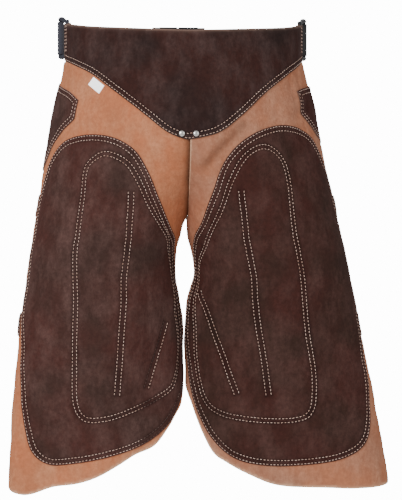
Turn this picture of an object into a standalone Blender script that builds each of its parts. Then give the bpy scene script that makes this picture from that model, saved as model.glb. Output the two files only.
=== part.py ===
"""Farrier chaps: a suede yoke on a webbing belt, with two split legs that open behind.

Metres, +Z up. The front faces -Y. The origin is the centre of the waist ring.
A place on the cloth is given by t, the turn round its leg in degrees (0 inside, 90 front,
180 outer silhouette), and z, its height in millimetres. "left" is the side at -X.
"""
import math

import bmesh
import bpy
from mathutils import Vector
from mathutils.geometry import delaunay_2d_cdt

MM = 0.001
COLLECTION = "farrier_chaps"

# Thickness of each material and the gap between pieces, mm
PANEL = 2.0
PATCH = 1.8
YOKE = 2.0
TAB = 0.8
WEBBING = 1.6
GAP = 0.3

# Offsets from the outer face of the tan leg panels, mm
PANEL_LAYER = (-PANEL, 0.0)
PATCH_LAYER = (GAP, GAP + PATCH)
YOKE_LAYER = (GAP, GAP + YOKE)
TAB_LAYER = (GAP, GAP + TAB)
STRAP_LAYER = (-PANEL - GAP - WEBBING, -PANEL - GAP)
STRAP_LAP = WEBBING + GAP

# The shared net that every cloth piece is cut from
TURN_STEP = 8.0
ROW_STEP = 35.0
MM_PER_DEGREE = 1.9
EDGE_STEP = 28.0
WELD = 0.8
TINY = 1e-6
SHARP_DEGREES = 40

# Waist and hips: z, half width on the left and on the right, front depth
HIP_ROWS = [
    (45, 184, 184, 129), (0, 184.5, 184.5, 131), (-30, 185, 186, 134), (-50, 186.5, 190, 137),
    (-105, 199, 203.5, 141), (-150, 207, 211.5, 143), (-200, 216, 222.5, 143),
    (-260, 226, 232.5, 143), (-330, 238, 243, 143),
]
# Each leg: z, inner reach, outer reach, depth of its middle, depth of its front
LEFT_LEG_ROWS = [
    (-100, 0, 198, -6, 132), (-150, 0, 207, -8, 130), (-200, 1, 216, -10, 128),
    (-260, 2, 225, -12, 126), (-300, 6, 232, -14, 125), (-322, 11, 237, -16, 124),
    (-360, 13, 241.5, -20, 120), (-400, 5, 247.5, -24, 116), (-440, 0.8, 252.5, -28, 112),
    (-500, 0.8, 256, -32, 106), (-560, 1, 261, -34, 102), (-632, 2, 266, -36, 100),
    (-710, 2, 272, -38, 98),
]
RIGHT_LEG_ROWS = [
    (-100, 0, 206.5, -6, 132), (-150, 0, 214.5, -8, 130), (-200, 1, 225.5, -10, 128),
    (-260, 2, 237.5, -12, 126), (-300, 6, 245, -14, 125), (-322, 12, 249.5, -16, 124),
    (-360, 15, 257.5, -20, 120), (-400, 5, 267.5, -24, 116), (-440, 0.8, 274.5, -28, 112),
    (-500, 0.8, 286, -32, 106), (-560, 1, 295.5, -34, 102), (-632, 2, 307.5, -36, 100),
    (-710, 2, 319.5, -38, 98),
]
LEG_ROWS = {-1: LEFT_LEG_ROWS, 1: RIGHT_LEG_ROWS}
LEG_STARTS, LEG_ALONE = -150.0, -330.0
HIP_TURN, HIP_TURN_GAIN = 0.3111, 0.001049

# A fold fades towards its ends as the root of a half wave that it enters and leaves part way
FADE_START, FADE_SPAN = 0.15, 0.8
# Folds: side, turn and z of each end, width and height in mm (a trough is negative)
FOLD_ROWS = [
    (-1, 40, -415, 60, -545, 20, -5.0),
    (-1, 17, -330, 20, -500, 15, -3.0),
    (-1, 52, -560, 62, -700, 24, -5.0),
    (-1, 88, -610, 92, -710, 28, 5.0),
    (-1, 122, -585, 120, -710, 26, -5.0),
    (-1, 158, -520, 152, -710, 30, 5.0),
    (-1, 188, -330, 186, -520, 24, -4.0),
    (-1, 150, -95, 120, -150, 20, -2.5),
    (1, 30, -385, 62, -545, 20, -3.5),
    (1, 38, -205, 66, -150, 14, -3.0),
    (1, 60, -570, 70, -700, 26, 4.0),
    (1, 100, -600, 104, -710, 28, -4.0),
    (1, 140, -560, 146, -710, 30, 5.0),
    (1, 188, -300, 184, -500, 24, -4.0),
    (1, 168, -380, 160, -560, 22, -2.5),
    (1, 150, -95, 122, -145, 20, -2.5),
]

# Outlines as rows of turn and z. A third value of 1 marks a corner.
YOKE_TOP = [(165, 24.5, 1), (145, 20), (118, 14), (90, 10), (60, 7), (30, 5)]
YOKE_TOP_CENTRE = 4.0
YOKE_LEFT_EDGE = [(22, -151), (33, -142), (44, -130), (65, -107), (88, -83), (112, -60), (138, -44)]
YOKE_RIGHT_EDGE = [(28, -152), (41, -144), (53, -131), (64, -118), (88, -88), (112, -65), (136, -47)]
YOKE_POINT = (6, -158)
YOKE_END, YOKE_CORNER = 165.0, -32.0
TAB_TOP, TAB_BOTTOM, TAB_LENGTH = 24.0, -15.0, 24.0

LEFT_PANEL = [
    (0.4, -142, 1), (20, -136), (32, -127), (43, -115), (65, -91), (88, -67), (112, -46), (135, -35),
    (152, -32.5), (172, -35), (186, -45), (196, -78), (201, -130), (203, -200), (203, -260),
    (201, -330), (199, -400), (195, -490), (190, -570), (186, -630), (182, -662), (172, -681),
    (149, -690), (136, -689), (120, -678), (103, -672), (90, -662), (77, -646), (64, -630),
    (49, -618), (37, -593), (25, -570), (11, -551), (0, -530), (-3, -495), (-5, -460), (-9, -430),
    (-18, -402), (-27, -372), (-28, -345), (-22, -318), (-12, -295), (-3, -272), (0, -250),
    (0.4, -225), (0.4, -185),
]
RIGHT_PANEL = [
    (0.4, -142, 1), (28, -136), (41, -128), (53, -115), (64, -102), (88, -72), (112, -50), (135, -37),
    (152, -32.5), (172, -35), (186, -45), (196, -78), (201, -130), (203, -200), (203, -260),
    (201, -330), (199, -400), (194, -490), (189, -560), (185, -610), (180, -650), (174, -675),
    (157, -682), (130, -684), (112, -682), (95, -680), (80, -675), (66, -660), (52, -643),
    (42, -629), (31, -595), (23, -567), (14, -543), (1, -520), (-4, -490), (-8, -450), (-16, -412),
    (-26, -385), (-30, -358), (-24, -330), (-12, -303), (-2, -278), (1, -250), (0.8, -222),
    (0.4, -185),
]
LEFT_LEG_PATCH = [
    (107, -150), (134, -158), (151, -185), (160, -219), (166, -265), (164, -315), (165, -376),
    (166, -417), (161, -474), (154, -534), (146, -588), (138, -625), (124, -644), (106, -642),
    (80, -630), (56, -613), (38, -588), (22, -556), (10, -526), (8, -485), (13, -437), (12, -386),
    (12, -345), (20, -311), (33, -285), (42, -248), (48, -209), (59, -176), (80, -156),
]
RIGHT_LEG_PATCH = [
    (107, -135), (129, -141), (144, -156), (155, -179), (165, -215), (166, -270), (167, -340),
    (166, -400), (161, -455), (159, -519), (152, -572), (142, -612), (127, -634), (106, -645),
    (80, -647), (58, -636), (41, -606), (29, -570), (19, -529), (12, -480), (9, -424), (9, -384),
    (8, -345), (14, -313), (30, -281), (36, -239), (40, -201), (51, -173), (68, -152), (88, -139),
]
LEFT_PAD = [
    (87, -176), (100, -185), (108, -202), (111, -241), (114, -300), (111, -389), (110, -479),
    (108, -546), (101, -576), (86, -578), (62, -561), (38, -538), (30, -522), (23, -485),
    (25, -421), (22, -360), (32, -310), (43, -282), (51, -256), (58, -215), (68, -189),
]
RIGHT_PAD = [
    (84, -166), (96, -178), (103, -200), (107, -249), (108, -340), (109, -440), (110, -518),
    (106, -566), (94, -581), (70, -580), (48, -570), (35, -549), (27, -505), (24, -441), (19, -384),
    (19, -345), (34, -311), (46, -266), (50, -219), (58, -187), (71, -169),
]
LEFT_CHANNELS = [[(69, -239), (74, -300), (75, -400), (78, -501), (78, -540)],
                 [(40, -428), (46, -455), (54, -500), (60, -529)]]
RIGHT_CHANNELS = [[(63, -232), (71, -315), (75, -399), (79, -491), (81, -542)],
                  [(27, -385), (37, -417), (47, -463), (56, -510), (61, -540)]]
LEFT_POCKET = [
    (162, -73, 1), (141, -83), (125, -97, 1), (127, -125, 1), (141, -143), (155, -166),
    (170, -193), (186, -200, 1), (188, -64, 1),
]
RIGHT_POCKET = [
    (162, -71, 1), (146, -75), (131, -81, 1), (134, -115, 1), (146, -133), (158, -147),
    (187, -160, 1), (188, -66, 1),
]
SIZE_TAB = [(111, -63.5, 1), (97, -77.5, 1), (101.5, -89, 1), (116, -74.5, 1)]
UPPER_BASE = [(172, -238, 1), (196, -238, 1), (196, -271, 1), (172, -271, 1)]
LOWER_BASE = [(170, -418, 1), (192, -418, 1), (191, -453, 1), (168, -453, 1)]

# Quilting of the leg patches
PAD_RISE, PAD_SLOPE = 2.2, 13.0
CHANNEL_DEPTH, CHANNEL_SLOPE = 1.8, 11.0

# Straps: height of the middle at the outer and the inner end, turns of those ends, and their laps
STRAP_WIDTH = 25.0
UPPER_STRAP_ENDS, LOWER_STRAP_ENDS = (-254.5, -290.0), (-435.5, -441.0)
STRAP_START, STRAP_FINISH = 176.0, 376.0
BACK_FROM, BACK_TO = 200.0, 328.0
STRAP_BULGE = 1.15
LAP_FROM, LAP_TO = 248.0, 296.0
BACK_STEPS_START, BACK_STEPS_END = 206.0, 240.0

# Belt, side loops and buckle, mm
BELT_Z, BELT_WIDTH = 5.0, 50.0
LOOP_RADIUS, LOOP_HEIGHT, LOOP_CORNER, LOOP_CLEAR = 2.8, 64.0, 5.0, 0.6
LOOP_REAR = (189.0, 7.0)
LOOP_CORNER_STEPS = 4
BELT_HALF_WIDTH, BELT_MIDDLE_Y, BELT_DEPTH = 193.2, 12.0, 105.0
BELT_LAP = WEBBING + GAP
BAR_TURN_STEPS = 8
# Angle on the belt's curve and shift out of it, from the tail at the side loop to the one at the buckle
SIDE_TAIL = [(26, -BELT_LAP), (20, -BELT_LAP), (14, -BELT_LAP), (9, -BELT_LAP)]
SIDE_TAIL_BEND = (-3.15, 9.0)
BELT_RUN = [(4 * i, 0.0) for i in range(1, 19)] + [(75, 0.0)]
BUCKLE_TAIL = [(76, 4.6), (74, 2.3), (71.5, BELT_LAP), (68, BELT_LAP), (64, BELT_LAP), (60, BELT_LAP)]

# How the ends of the yoke wrap the side loops
WRAP_RADIUS = LOOP_RADIUS + LOOP_CLEAR
WRAP_LENGTH = math.pi * (WRAP_RADIUS + YOKE / 2)
WRAP_STEPS = 6

# Buckle, mm: its bars, bodies and rails, then the prong in the middle with its side catches
BUCKLE_BAR_X, BUCKLE_BAR_RADIUS, BUCKLE_HEIGHT, BUCKLE_THICK = 40.0, 2.5, 62.0, 11.0
BAR_INSET, BAR_SIDES = 2.5, 12
BODY_TO_BAR, MEETING_X, BODY_ROUND = 8.0, 1.5, 2.0
RAIL_HEIGHT, RAIL_INSET, RAIL_LAP = 3.5, 0.6, 2.0
PRONG_REACH, PRONG_THICK, PRONG_INSET, PRONG_SLACK = 24.0, 4.0, 9.5, 0.5
CATCH_START, CATCH_END, CATCH_INSET = 3.0, 12.0, 2.0
HOLLOW_EXTRA, WINDOW_EXTRA, WINDOW_SLACK = 2.0, 2.0, 1.0

# Rivets, with a profile in shares of the radius and the height
RIVET_RADIUS, RIVET_HEIGHT = 4.5, 2.0
RIVET_TURN, RIVET_Z = 9.0, -150.5
RIVET_PROFILE = [(0.0, 1.0), (0.45, 0.92), (0.8, 0.68), (1.0, 0.3), (1.0, 0.0), (0.0, 0.0)]
RIVET_STEPS = 20

# Material name: colour, roughness, metallic
FINISHES = {
    "dark_suede": ((0.075, 0.037, 0.029), 0.95, 0.0),
    "tan_suede": ((0.56, 0.27, 0.155), 0.92, 0.0),
    "navy_webbing": ((0.035, 0.035, 0.05), 0.85, 0.0),
    "black_webbing": ((0.02, 0.02, 0.022), 0.85, 0.0),
    "plastic": ((0.03, 0.03, 0.04), 0.45, 0.0),
    "nickel": ((0.72, 0.7, 0.66), 0.3, 1.0),
    "white_tape": ((0.8, 0.8, 0.78), 0.7, 0.0),
}


def clear_scene():
    """Start from an empty scene."""
    for thing in list(bpy.data.objects):
        bpy.data.objects.remove(thing, do_unlink=True)


def smoothstep(x):
    """0 below 0, 1 above 1, smooth between."""
    x = min(max(x, 0.0), 1.0)
    return x * x * (3 - 2 * x)


def column(rows, index, z):
    """Smooth value of one column of a table at the height z; rows run downwards."""
    heights = [row[0] for row in rows]
    values = [row[index] for row in rows]
    z = min(max(z, heights[-1]), heights[0])
    last = len(rows) - 1
    k = max(i for i in range(last) if heights[i] >= z)

    def slope(i):
        above, below = max(i - 1, 0), min(i + 1, last)
        return (values[above] - values[below]) / (heights[above] - heights[below])

    span = heights[k + 1] - heights[k]
    s = (z - heights[k]) / span
    return ((2 * s**3 - 3 * s**2 + 1) * values[k] + (s**3 - 2 * s**2 + s) * span * slope(k)
            + (3 * s**2 - 2 * s**3) * values[k + 1] + (s**3 - s**2) * span * slope(k + 1))


def form(side, t, z):
    """Smooth worn form: one ellipse round the hips that becomes one ellipse round each leg."""
    leg_share = smoothstep((LEG_STARTS - z) / (LEG_STARTS - LEG_ALONE))
    hip_turn = math.radians(HIP_TURN * t + HIP_TURN_GAIN * t * abs(t))
    hip_x = column(HIP_ROWS, 1 if side < 0 else 2, z) * math.sin(hip_turn)
    hip_y = -column(HIP_ROWS, 3, z) * math.cos(hip_turn)
    inner, outer, middle, front = (column(LEG_ROWS[side], i, z) for i in (1, 2, 3, 4))
    turn = math.radians(t)
    leg_x = (inner + outer) / 2 - (outer - inner) / 2 * math.cos(turn)
    leg_y = middle - (front + middle) * math.sin(turn)
    x = (1 - leg_share) * hip_x + leg_share * leg_x
    y = (1 - leg_share) * hip_y + leg_share * leg_y
    return Vector((side * x, y, z))


def across(surface, side, t, z):
    """Outward unit normal of a surface function."""
    round_step = surface(side, t + 0.5, z) - surface(side, t - 0.5, z)
    down_step = surface(side, t, z + 1) - surface(side, t, z - 1)
    return (round_step.cross(down_step) * side).normalized()


def fold_height(side, t, z):
    """Sum of the folds at a place."""
    total = 0.0
    for fold_side, t0, z0, t1, z1, width, height in FOLD_ROWS:
        if fold_side != side:
            continue
        start, end = Vector((t0 * MM_PER_DEGREE, z0)), Vector((t1 * MM_PER_DEGREE, z1))
        place, run = Vector((t * MM_PER_DEGREE, z)), end - start
        along = min(max((place - start).dot(run) / run.length_squared, 0.0), 1.0)
        away = (place - start - run * along).length
        fade = math.sin(math.pi * (FADE_START + FADE_SPAN * along)) ** 0.5
        total += height * math.exp(-(away / width) ** 2) * fade
    return total


def folded(side, t, z):
    """Worn form with its folds."""
    return form(side, t, z) + across(form, side, t, z) * fold_height(side, t, z)


NET = {}


def net_point(side, column_index, row_index):
    """Point and normal of one crossing of the net, worked out once."""
    key = (side, column_index, row_index)
    if key not in NET:
        t, z = column_index * TURN_STEP, row_index * ROW_STEP
        if BACK_FROM < t < BACK_TO:
            NET[key] = back_point(side, t, z)
        else:
            turned = t - 360.0 if t >= BACK_TO else t
            NET[key] = (folded(side, turned, z), across(folded, side, turned, z))
    return NET[key]


def back_curve(side, t, z):
    """Where a strap runs behind the open back of a leg, at one height."""
    start, end = folded(side, BACK_FROM, z), folded(side, BACK_TO - 360.0, z)
    leave = (folded(side, BACK_FROM, z) - folded(side, BACK_FROM - 1, z)).normalized()
    arrive = (folded(side, BACK_TO - 359.0, z) - folded(side, BACK_TO - 360.0, z)).normalized()
    pull = (end - start).length * STRAP_BULGE
    s = (t - BACK_FROM) / (BACK_TO - BACK_FROM)
    return (start * (2 * s**3 - 3 * s**2 + 1) + leave * pull * (s**3 - 2 * s**2 + s)
            + end * (3 * s**2 - 2 * s**3) + arrive * pull * (s**3 - s**2))


def back_point(side, t, z):
    """Point and normal of the net behind a leg."""
    return back_curve(side, t, z), across(back_curve, side, t, z)


def on_net(side, t, z, offset):
    """Point on the net's flat triangles, moved out; layers cut from it nest exactly."""
    column_index, row_index = math.floor(t / TURN_STEP), math.floor(z / ROW_STEP)
    u, v = t / TURN_STEP - column_index, z / ROW_STEP - row_index
    middle = (1, 0) if u >= v else (0, 1)
    shares = ((0, 0, 1 - max(u, v)), (*middle, abs(u - v)), (1, 1, min(u, v)))
    place = Vector((0.0, 0.0, 0.0))
    for right, up, share in shares:
        if share > TINY:
            point, normal = net_point(side, column_index + right, row_index + up)
            place += (point + normal * offset) * share
    return place


def curve_points(before, start, end, after):
    """Points of one smooth stretch from start up to, but not on, end."""
    count = max(1, round((end - start).length / EDGE_STEP))
    leave, arrive = (end - before) / 2, (after - start) / 2
    points = []
    for i in range(count):
        s = i / count
        points.append(start * (2 * s**3 - 3 * s**2 + 1) + leave * (s**3 - 2 * s**2 + s)
                      + end * (3 * s**2 - 2 * s**3) + arrive * (s**3 - s**2))
    return points


def knots_of(rows):
    """Rows of turn and height as points of the flat plane, both in mm."""
    return [Vector((row[0] * MM_PER_DEGREE, row[1])) for row in rows]


def smooth_run(knots):
    """Open smooth line through the knots, without its last point; two knots give a straight one."""
    if len(knots) == 2:
        return knots[:1]
    padded = [2 * knots[0] - knots[1]] + knots + [2 * knots[-1] - knots[-2]]
    stretches = zip(padded, padded[1:], padded[2:], padded[3:])
    return [point for stretch in stretches for point in curve_points(*stretch)]


def smooth_loop(knots):
    """Closed smooth line through the knots."""
    total = len(knots)
    points = []
    for i in range(total):
        points += curve_points(knots[i - 1], knots[i], knots[(i + 1) % total], knots[(i + 2) % total])
    return points


def outline(rows):
    """Closed line through the rows, which turns sharply only at marked corners."""
    knots = knots_of(rows)
    corners = [i for i, row in enumerate(rows) if len(row) > 2]
    if not corners:
        return smooth_loop(knots)
    points = []
    for first, second in zip(corners, corners[1:] + [corners[0] + len(rows)]):
        points += smooth_run([knots[i % len(rows)] for i in range(first, second + 1)])
    return points


def inside(point, loop):
    """Whether a flat point is inside a closed line."""
    hit = False
    for a, b in zip(loop, loop[1:] + loop[:1]):
        if (a.y > point.y) != (b.y > point.y):
            crossing = a.x + (point.y - a.y) * (b.x - a.x) / (b.y - a.y)
            hit = hit != (point.x < crossing)
    return hit


def distance_to(point, line, closed):
    """Distance from a flat point to a line of points."""
    ends = line[1:] + line[:1] if closed else line[1:]
    best = math.inf
    for a, b in zip(line, ends):
        run = b - a
        along = min(max((point - a).dot(run) / run.length_squared, 0.0), 1.0)
        best = min(best, (point - a - run * along).length)
    return best


def net_lines(loop, mirrored=False):
    """Net lines that cover a loop, as flat points and the pairs that join them."""
    step = TURN_STEP * MM_PER_DEGREE
    left, right = (math.floor(min(p.x for p in loop) / step), math.ceil(max(p.x for p in loop) / step))
    low, high = (math.floor(min(p.y for p in loop) / ROW_STEP), math.ceil(max(p.y for p in loop) / ROW_STEP))
    across_count = right - left + 1
    points = [Vector((i * step, j * ROW_STEP)) for j in range(low, high + 1) for i in range(left, right + 1)]
    pairs = []
    for j in range(high - low + 1):
        for i in range(across_count):
            here = j * across_count + i
            if i + 1 < across_count:
                pairs.append((here, here + 1))
            if j < high - low:
                pairs.append((here, here + across_count))
            if j < high - low and i + 1 < across_count:
                leans_left = mirrored and left + i < 0
                pairs.append((here + 1, here + across_count) if leans_left
                             else (here, here + across_count + 1))
    return points, pairs


def cut_cloth(loop, net, creases=()):
    """Flat triangles inside a loop, split along the net and along extra closed or open lines."""
    points, pairs = list(net[0]), list(net[1])
    for line, closed in [(loop, True), *creases]:
        first = len(points)
        points += line
        pairs += [(first + i, first + i + 1) for i in range(len(line) - 1)]
        if closed:
            pairs.append((first + len(line) - 1, first))
    flat, _, faces, *_ = delaunay_2d_cdt(points, pairs, [], 0, 1e-4)
    faces = [face for face in faces
             if inside(sum((flat[i] for i in face), Vector((0.0, 0.0))) / len(face), loop)]
    cloth = bmesh.new()
    verts = {i: cloth.verts.new((*flat[i], 0.0)) for i in sorted({i for face in faces for i in face})}
    for face in faces:
        cloth.faces.new([verts[i] for i in face])
    bmesh.ops.remove_doubles(cloth, verts=cloth.verts, dist=WELD)
    bmesh.ops.dissolve_degenerate(cloth, dist=WELD / 2, edges=cloth.edges)
    bmesh.ops.delete(cloth, geom=[v for v in cloth.verts if not v.link_faces], context="VERTS")
    bmesh.ops.triangulate(cloth, faces=cloth.faces)
    return cloth


def thicken(name, cloth, place, layer, finish, rise=None):
    """Give the flat triangles their form: an inner face, an outer face and a rim between them."""
    cloth.verts.index_update()
    rim = [(edge.verts[0].index, edge.verts[1].index) for edge in cloth.edges if edge.is_boundary]
    shell = bmesh.new()
    sides = []
    for offset, lifted in ((layer[0], None), (layer[1], rise)):
        row = []
        for vert in cloth.verts:
            height = offset + (lifted(vert.co.xy) if lifted else 0.0)
            row.append(shell.verts.new(place(vert.co.x / MM_PER_DEGREE, vert.co.y, height) * MM))
        sides.append(row)
    lower, upper = sides
    for face in cloth.faces:
        corners = [vert.index for vert in face.verts]
        shell.faces.new([upper[i] for i in corners])
        shell.faces.new([lower[i] for i in reversed(corners)])
    for a, b in rim:
        shell.faces.new((lower[a], lower[b], upper[b]))
        shell.faces.new((lower[a], upper[b], upper[a]))
    cloth.free()
    return add_mesh(name, shell, finish)


def add_mesh(name, shape, finish):
    """Make an object with faces pointing out, smooth but for its sharp edges."""
    bmesh.ops.recalc_face_normals(shape, faces=shape.faces)
    mesh = bpy.data.meshes.new(name)
    shape.to_mesh(mesh)
    shape.free()
    mesh.shade_smooth()
    mesh.set_sharp_from_angle(angle=math.radians(SHARP_DEGREES))
    thing = bpy.data.objects.new(name, mesh)
    bpy.data.collections[COLLECTION].objects.link(thing)
    mesh.materials.append(finish_for(name, finish))
    return thing


def finish_for(name, finish):
    """Own material of one piece."""
    colour, roughness, metallic = FINISHES[finish]
    material = bpy.data.materials.new(f"{name}_{finish}")
    material.use_nodes = True
    shader = material.node_tree.nodes["Principled BSDF"]
    shader.inputs["Base Color"].default_value = (*colour, 1.0)
    shader.inputs["Roughness"].default_value = roughness
    shader.inputs["Metallic"].default_value = metallic
    material.diffuse_color = (*colour, 1.0)
    return material


def side_name(side):
    """Word for a side."""
    return "left" if side < 0 else "right"


def make_piece(name, side, rows, layer, finish):
    """Plain cloth piece of one leg."""
    loop = outline(rows)
    cloth = cut_cloth(loop, net_lines(loop))
    return thicken(name, cloth, lambda t, z, offset: on_net(side, t, z, offset), layer, finish)


def make_leg_patch(side, rows, pad_rows, channel_rows):
    """Front reinforcement with its padded middle raised and its channels pressed in."""
    loop, pad = outline(rows), outline(pad_rows)
    channels = [smooth_run(knots_of(row)) + knots_of(row[-1:]) for row in channel_rows]

    def rise(point):
        if not inside(point, pad):
            return 0.0
        swell = smoothstep(distance_to(point, pad, True) / PAD_SLOPE)
        away = min(distance_to(point, channel, False) for channel in channels)
        return swell * (PAD_RISE - CHANNEL_DEPTH * (1 - smoothstep(away / CHANNEL_SLOPE)))

    creases = [(pad, True)] + [(channel, False) for channel in channels]
    cloth = cut_cloth(loop, net_lines(loop), creases)
    name = f"{side_name(side)}_leg_patch"
    return thicken(name, cloth, lambda t, z, offset: on_net(side, t, z, offset), PATCH_LAYER,
                   "dark_suede", rise)


def yoke_outline():
    """Yoke from its right end over the top to the left end and back along the V."""
    end, tab = YOKE_END, YOKE_END + (WRAP_LENGTH + TAB_LENGTH) / MM_PER_DEGREE
    right_tab = [(end, TAB_BOTTOM, 1), (tab, TAB_BOTTOM, 1), (tab, TAB_TOP, 1)]
    left_tab = [(-t, z, 1) for t, z, _ in reversed(right_tab)]
    left_top = [(-row[0], *row[1:]) for row in reversed(YOKE_TOP)]
    v_left = [(-end, YOKE_CORNER, 1)] + [(-t, z) for t, z in reversed(YOKE_LEFT_EDGE)]
    point = [(-YOKE_POINT[0], YOKE_POINT[1]), YOKE_POINT]
    v_right = YOKE_RIGHT_EDGE + [(end, YOKE_CORNER, 1)]
    return outline(right_tab + YOKE_TOP + [(0, YOKE_TOP_CENTRE)] + left_top + left_tab + v_left
                   + point + v_right)


def loop_bar(side):
    """Axis of the side loop's front bar at the belt's height, with the directions out and back."""
    place, out = folded(side, YOKE_END, 0.0), across(folded, side, YOKE_END, 0.0)
    out = Vector((out.x, out.y, 0.0)).normalized()
    back = Vector((-out.y, out.x, 0.0)) * side
    return Vector((place.x, place.y, 0.0)) + out * (GAP - WRAP_RADIUS), out, back


def yoke_place(t, z, offset):
    """Point of the yoke: on the hips, then round the loop's bar and back inside."""
    if abs(t) < TINY:
        return (on_net(-1, 0.0, z, offset) + on_net(1, 0.0, z, offset)) / 2
    side = -1 if t < 0 else 1
    t = abs(t)
    if t <= YOKE_END + TINY:
        return on_net(side, t, z, offset)
    past = (t - YOKE_END) * MM_PER_DEGREE
    if past < WRAP_LENGTH - TINY:
        centre, out, back = loop_bar(side)
        turn = math.pi * past / WRAP_LENGTH
        reach = WRAP_RADIUS + offset - GAP
        return centre + (out * math.cos(turn) + back * math.sin(turn)) * reach + Vector((0, 0, z))
    past -= WRAP_LENGTH
    sunk = 2 * WRAP_RADIUS * (1 - smoothstep((past - WRAP_RADIUS) / (TAB_LENGTH / 2)))
    return on_net(side, YOKE_END - past / MM_PER_DEGREE, z, -sunk - (offset - GAP))


def yoke_net(loop):
    """Net of both sides, with closer columns where the ends wrap round the side loops."""
    end = YOKE_END * MM_PER_DEGREE
    flat_loop = [p for p in loop if abs(p.x) <= end + WELD]
    points, pairs = net_lines(flat_loop, mirrored=True)
    keep = [i for i, p in enumerate(points) if abs(p.x) < end]
    index = {old: new for new, old in enumerate(keep)}
    points = [points[i] for i in keep]
    pairs = [(index[a], index[b]) for a, b in pairs if a in index and b in index]
    last = math.floor(YOKE_END / TURN_STEP) * TURN_STEP
    lap = [WRAP_LENGTH + (YOKE_END - last + TURN_STEP * i) * MM_PER_DEGREE for i in range(2)]
    wraps = [WRAP_LENGTH * i / WRAP_STEPS for i in range(WRAP_STEPS + 1)]
    wraps += [WRAP_LENGTH + WRAP_RADIUS] + lap
    for side in (-1, 1):
        for past in wraps:
            first = len(points)
            points += [Vector((side * (end + past), z)) for z in (-2 * ROW_STEP, 2 * ROW_STEP)]
            pairs.append((first, first + 1))
        first = len(points)
        points += [Vector((side * (last * MM_PER_DEGREE), 0.0)), Vector((side * (end + wraps[-1]), 0.0))]
        pairs.append((first, first + 1))
    return points, pairs


def make_yoke():
    """Waist yoke in one piece."""
    loop = yoke_outline()
    return thicken("yoke", cut_cloth(loop, yoke_net(loop)), yoke_place, YOKE_LAYER, "dark_suede")


def make_strap(side, level, ends):
    """Leg strap in two lengths: one from each edge of the panel, lapped behind the leg."""
    def edge(t, up):
        along = (t - STRAP_START) / (STRAP_FINISH - STRAP_START)
        return t, ends[0] + (ends[1] - ends[0]) * along + up * STRAP_WIDTH / 2, 1

    def outer_place(t, z, offset):
        step = smoothstep((t - BACK_STEPS_START) / (BACK_STEPS_END - BACK_STEPS_START))
        return on_net(side, t, z, offset + STRAP_LAP * step)

    def inner_place(t, z, offset):
        return on_net(side, t, z, offset)

    lengths = (("outer", STRAP_START, LAP_TO, outer_place), ("inner", LAP_FROM, STRAP_FINISH, inner_place))
    for part, start, finish, place in lengths:
        loop = outline([edge(start, -1), edge(finish, -1), edge(finish, 1), edge(start, 1)])
        cloth = cut_cloth(loop, net_lines(loop))
        thicken(f"{side_name(side)}_{level}_strap_{part}", cloth, place, STRAP_LAYER, "black_webbing")


def ribbon(name, path, thickness, middle_z, width, finish):
    """Band of webbing standing on edge along a path seen from above."""
    shape = bmesh.new()
    rings = []
    for i, here in enumerate(path):
        before, after = path[max(i - 1, 0)], path[min(i + 1, len(path) - 1)]
        along = (after - before).normalized()
        out = Vector((along.y, -along.x)) * thickness / 2
        corners = ((out, -1), (out, 1), (-out, 1), (-out, -1))
        rings.append([shape.verts.new(Vector((*(here + shift), middle_z + up * width / 2)) * MM)
                      for shift, up in corners])
    for ring, following in zip(rings, rings[1:]):
        for i in range(4):
            j = (i + 1) % 4
            shape.faces.new((ring[i], ring[j], following[j], following[i]))
    shape.faces.new(rings[0])
    shape.faces.new(reversed(rings[-1]))
    bmesh.ops.triangulate(shape, faces=shape.faces)
    return add_mesh(name, shape, finish)


def belt_point(angle, shift):
    """Point on the belt's curve seen from above; 0 at the side, 90 at the centre of the back."""
    turn = math.radians(angle)
    normal = Vector((math.cos(turn) * BELT_DEPTH, math.sin(turn) * BELT_HALF_WIDTH)).normalized()
    place = Vector((BELT_HALF_WIDTH * math.cos(turn), BELT_MIDDLE_Y + BELT_DEPTH * math.sin(turn)))
    return place + normal * shift


def half_turn(bar, radius, first):
    """Half turn of the belt round a bar, from a first angle."""
    reach = radius + LOOP_CLEAR + WEBBING / 2
    angles = [math.radians(first + 180 * i / BAR_TURN_STEPS) for i in range(BAR_TURN_STEPS + 1)]
    return [bar + Vector((math.cos(a), math.sin(a))) * reach for a in angles]


def belt_path():
    """One half of the belt from its tail at the side loop to its tail at the buckle, for +X."""
    rear = Vector(LOOP_REAR)
    path = [belt_point(*row) for row in SIDE_TAIL]
    path.append(rear + Vector(SIDE_TAIL_BEND))
    path += half_turn(rear, LOOP_RADIUS, 180)
    path += [belt_point(*row) for row in BELT_RUN]
    path += reversed(half_turn(buckle_bar(), BUCKLE_BAR_RADIUS, 90))
    path += [belt_point(*row) for row in BUCKLE_TAIL]
    return path


def buckle_bar():
    """Axis of the buckle's bar seen from above, for +X."""
    turn = BUCKLE_BAR_RADIUS + LOOP_CLEAR + WEBBING / 2
    angle = math.degrees(math.acos(BUCKLE_BAR_X / BELT_HALF_WIDTH))
    return belt_point(angle, turn)


def make_belt(side):
    """Half of the belt."""
    turned = [Vector((side * p.x, p.y)) for p in belt_path()]
    finish = "navy_webbing" if side < 0 else "black_webbing"
    return ribbon(f"{side_name(side)}_belt", turned, WEBBING, BELT_Z, BELT_WIDTH, finish)


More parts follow.
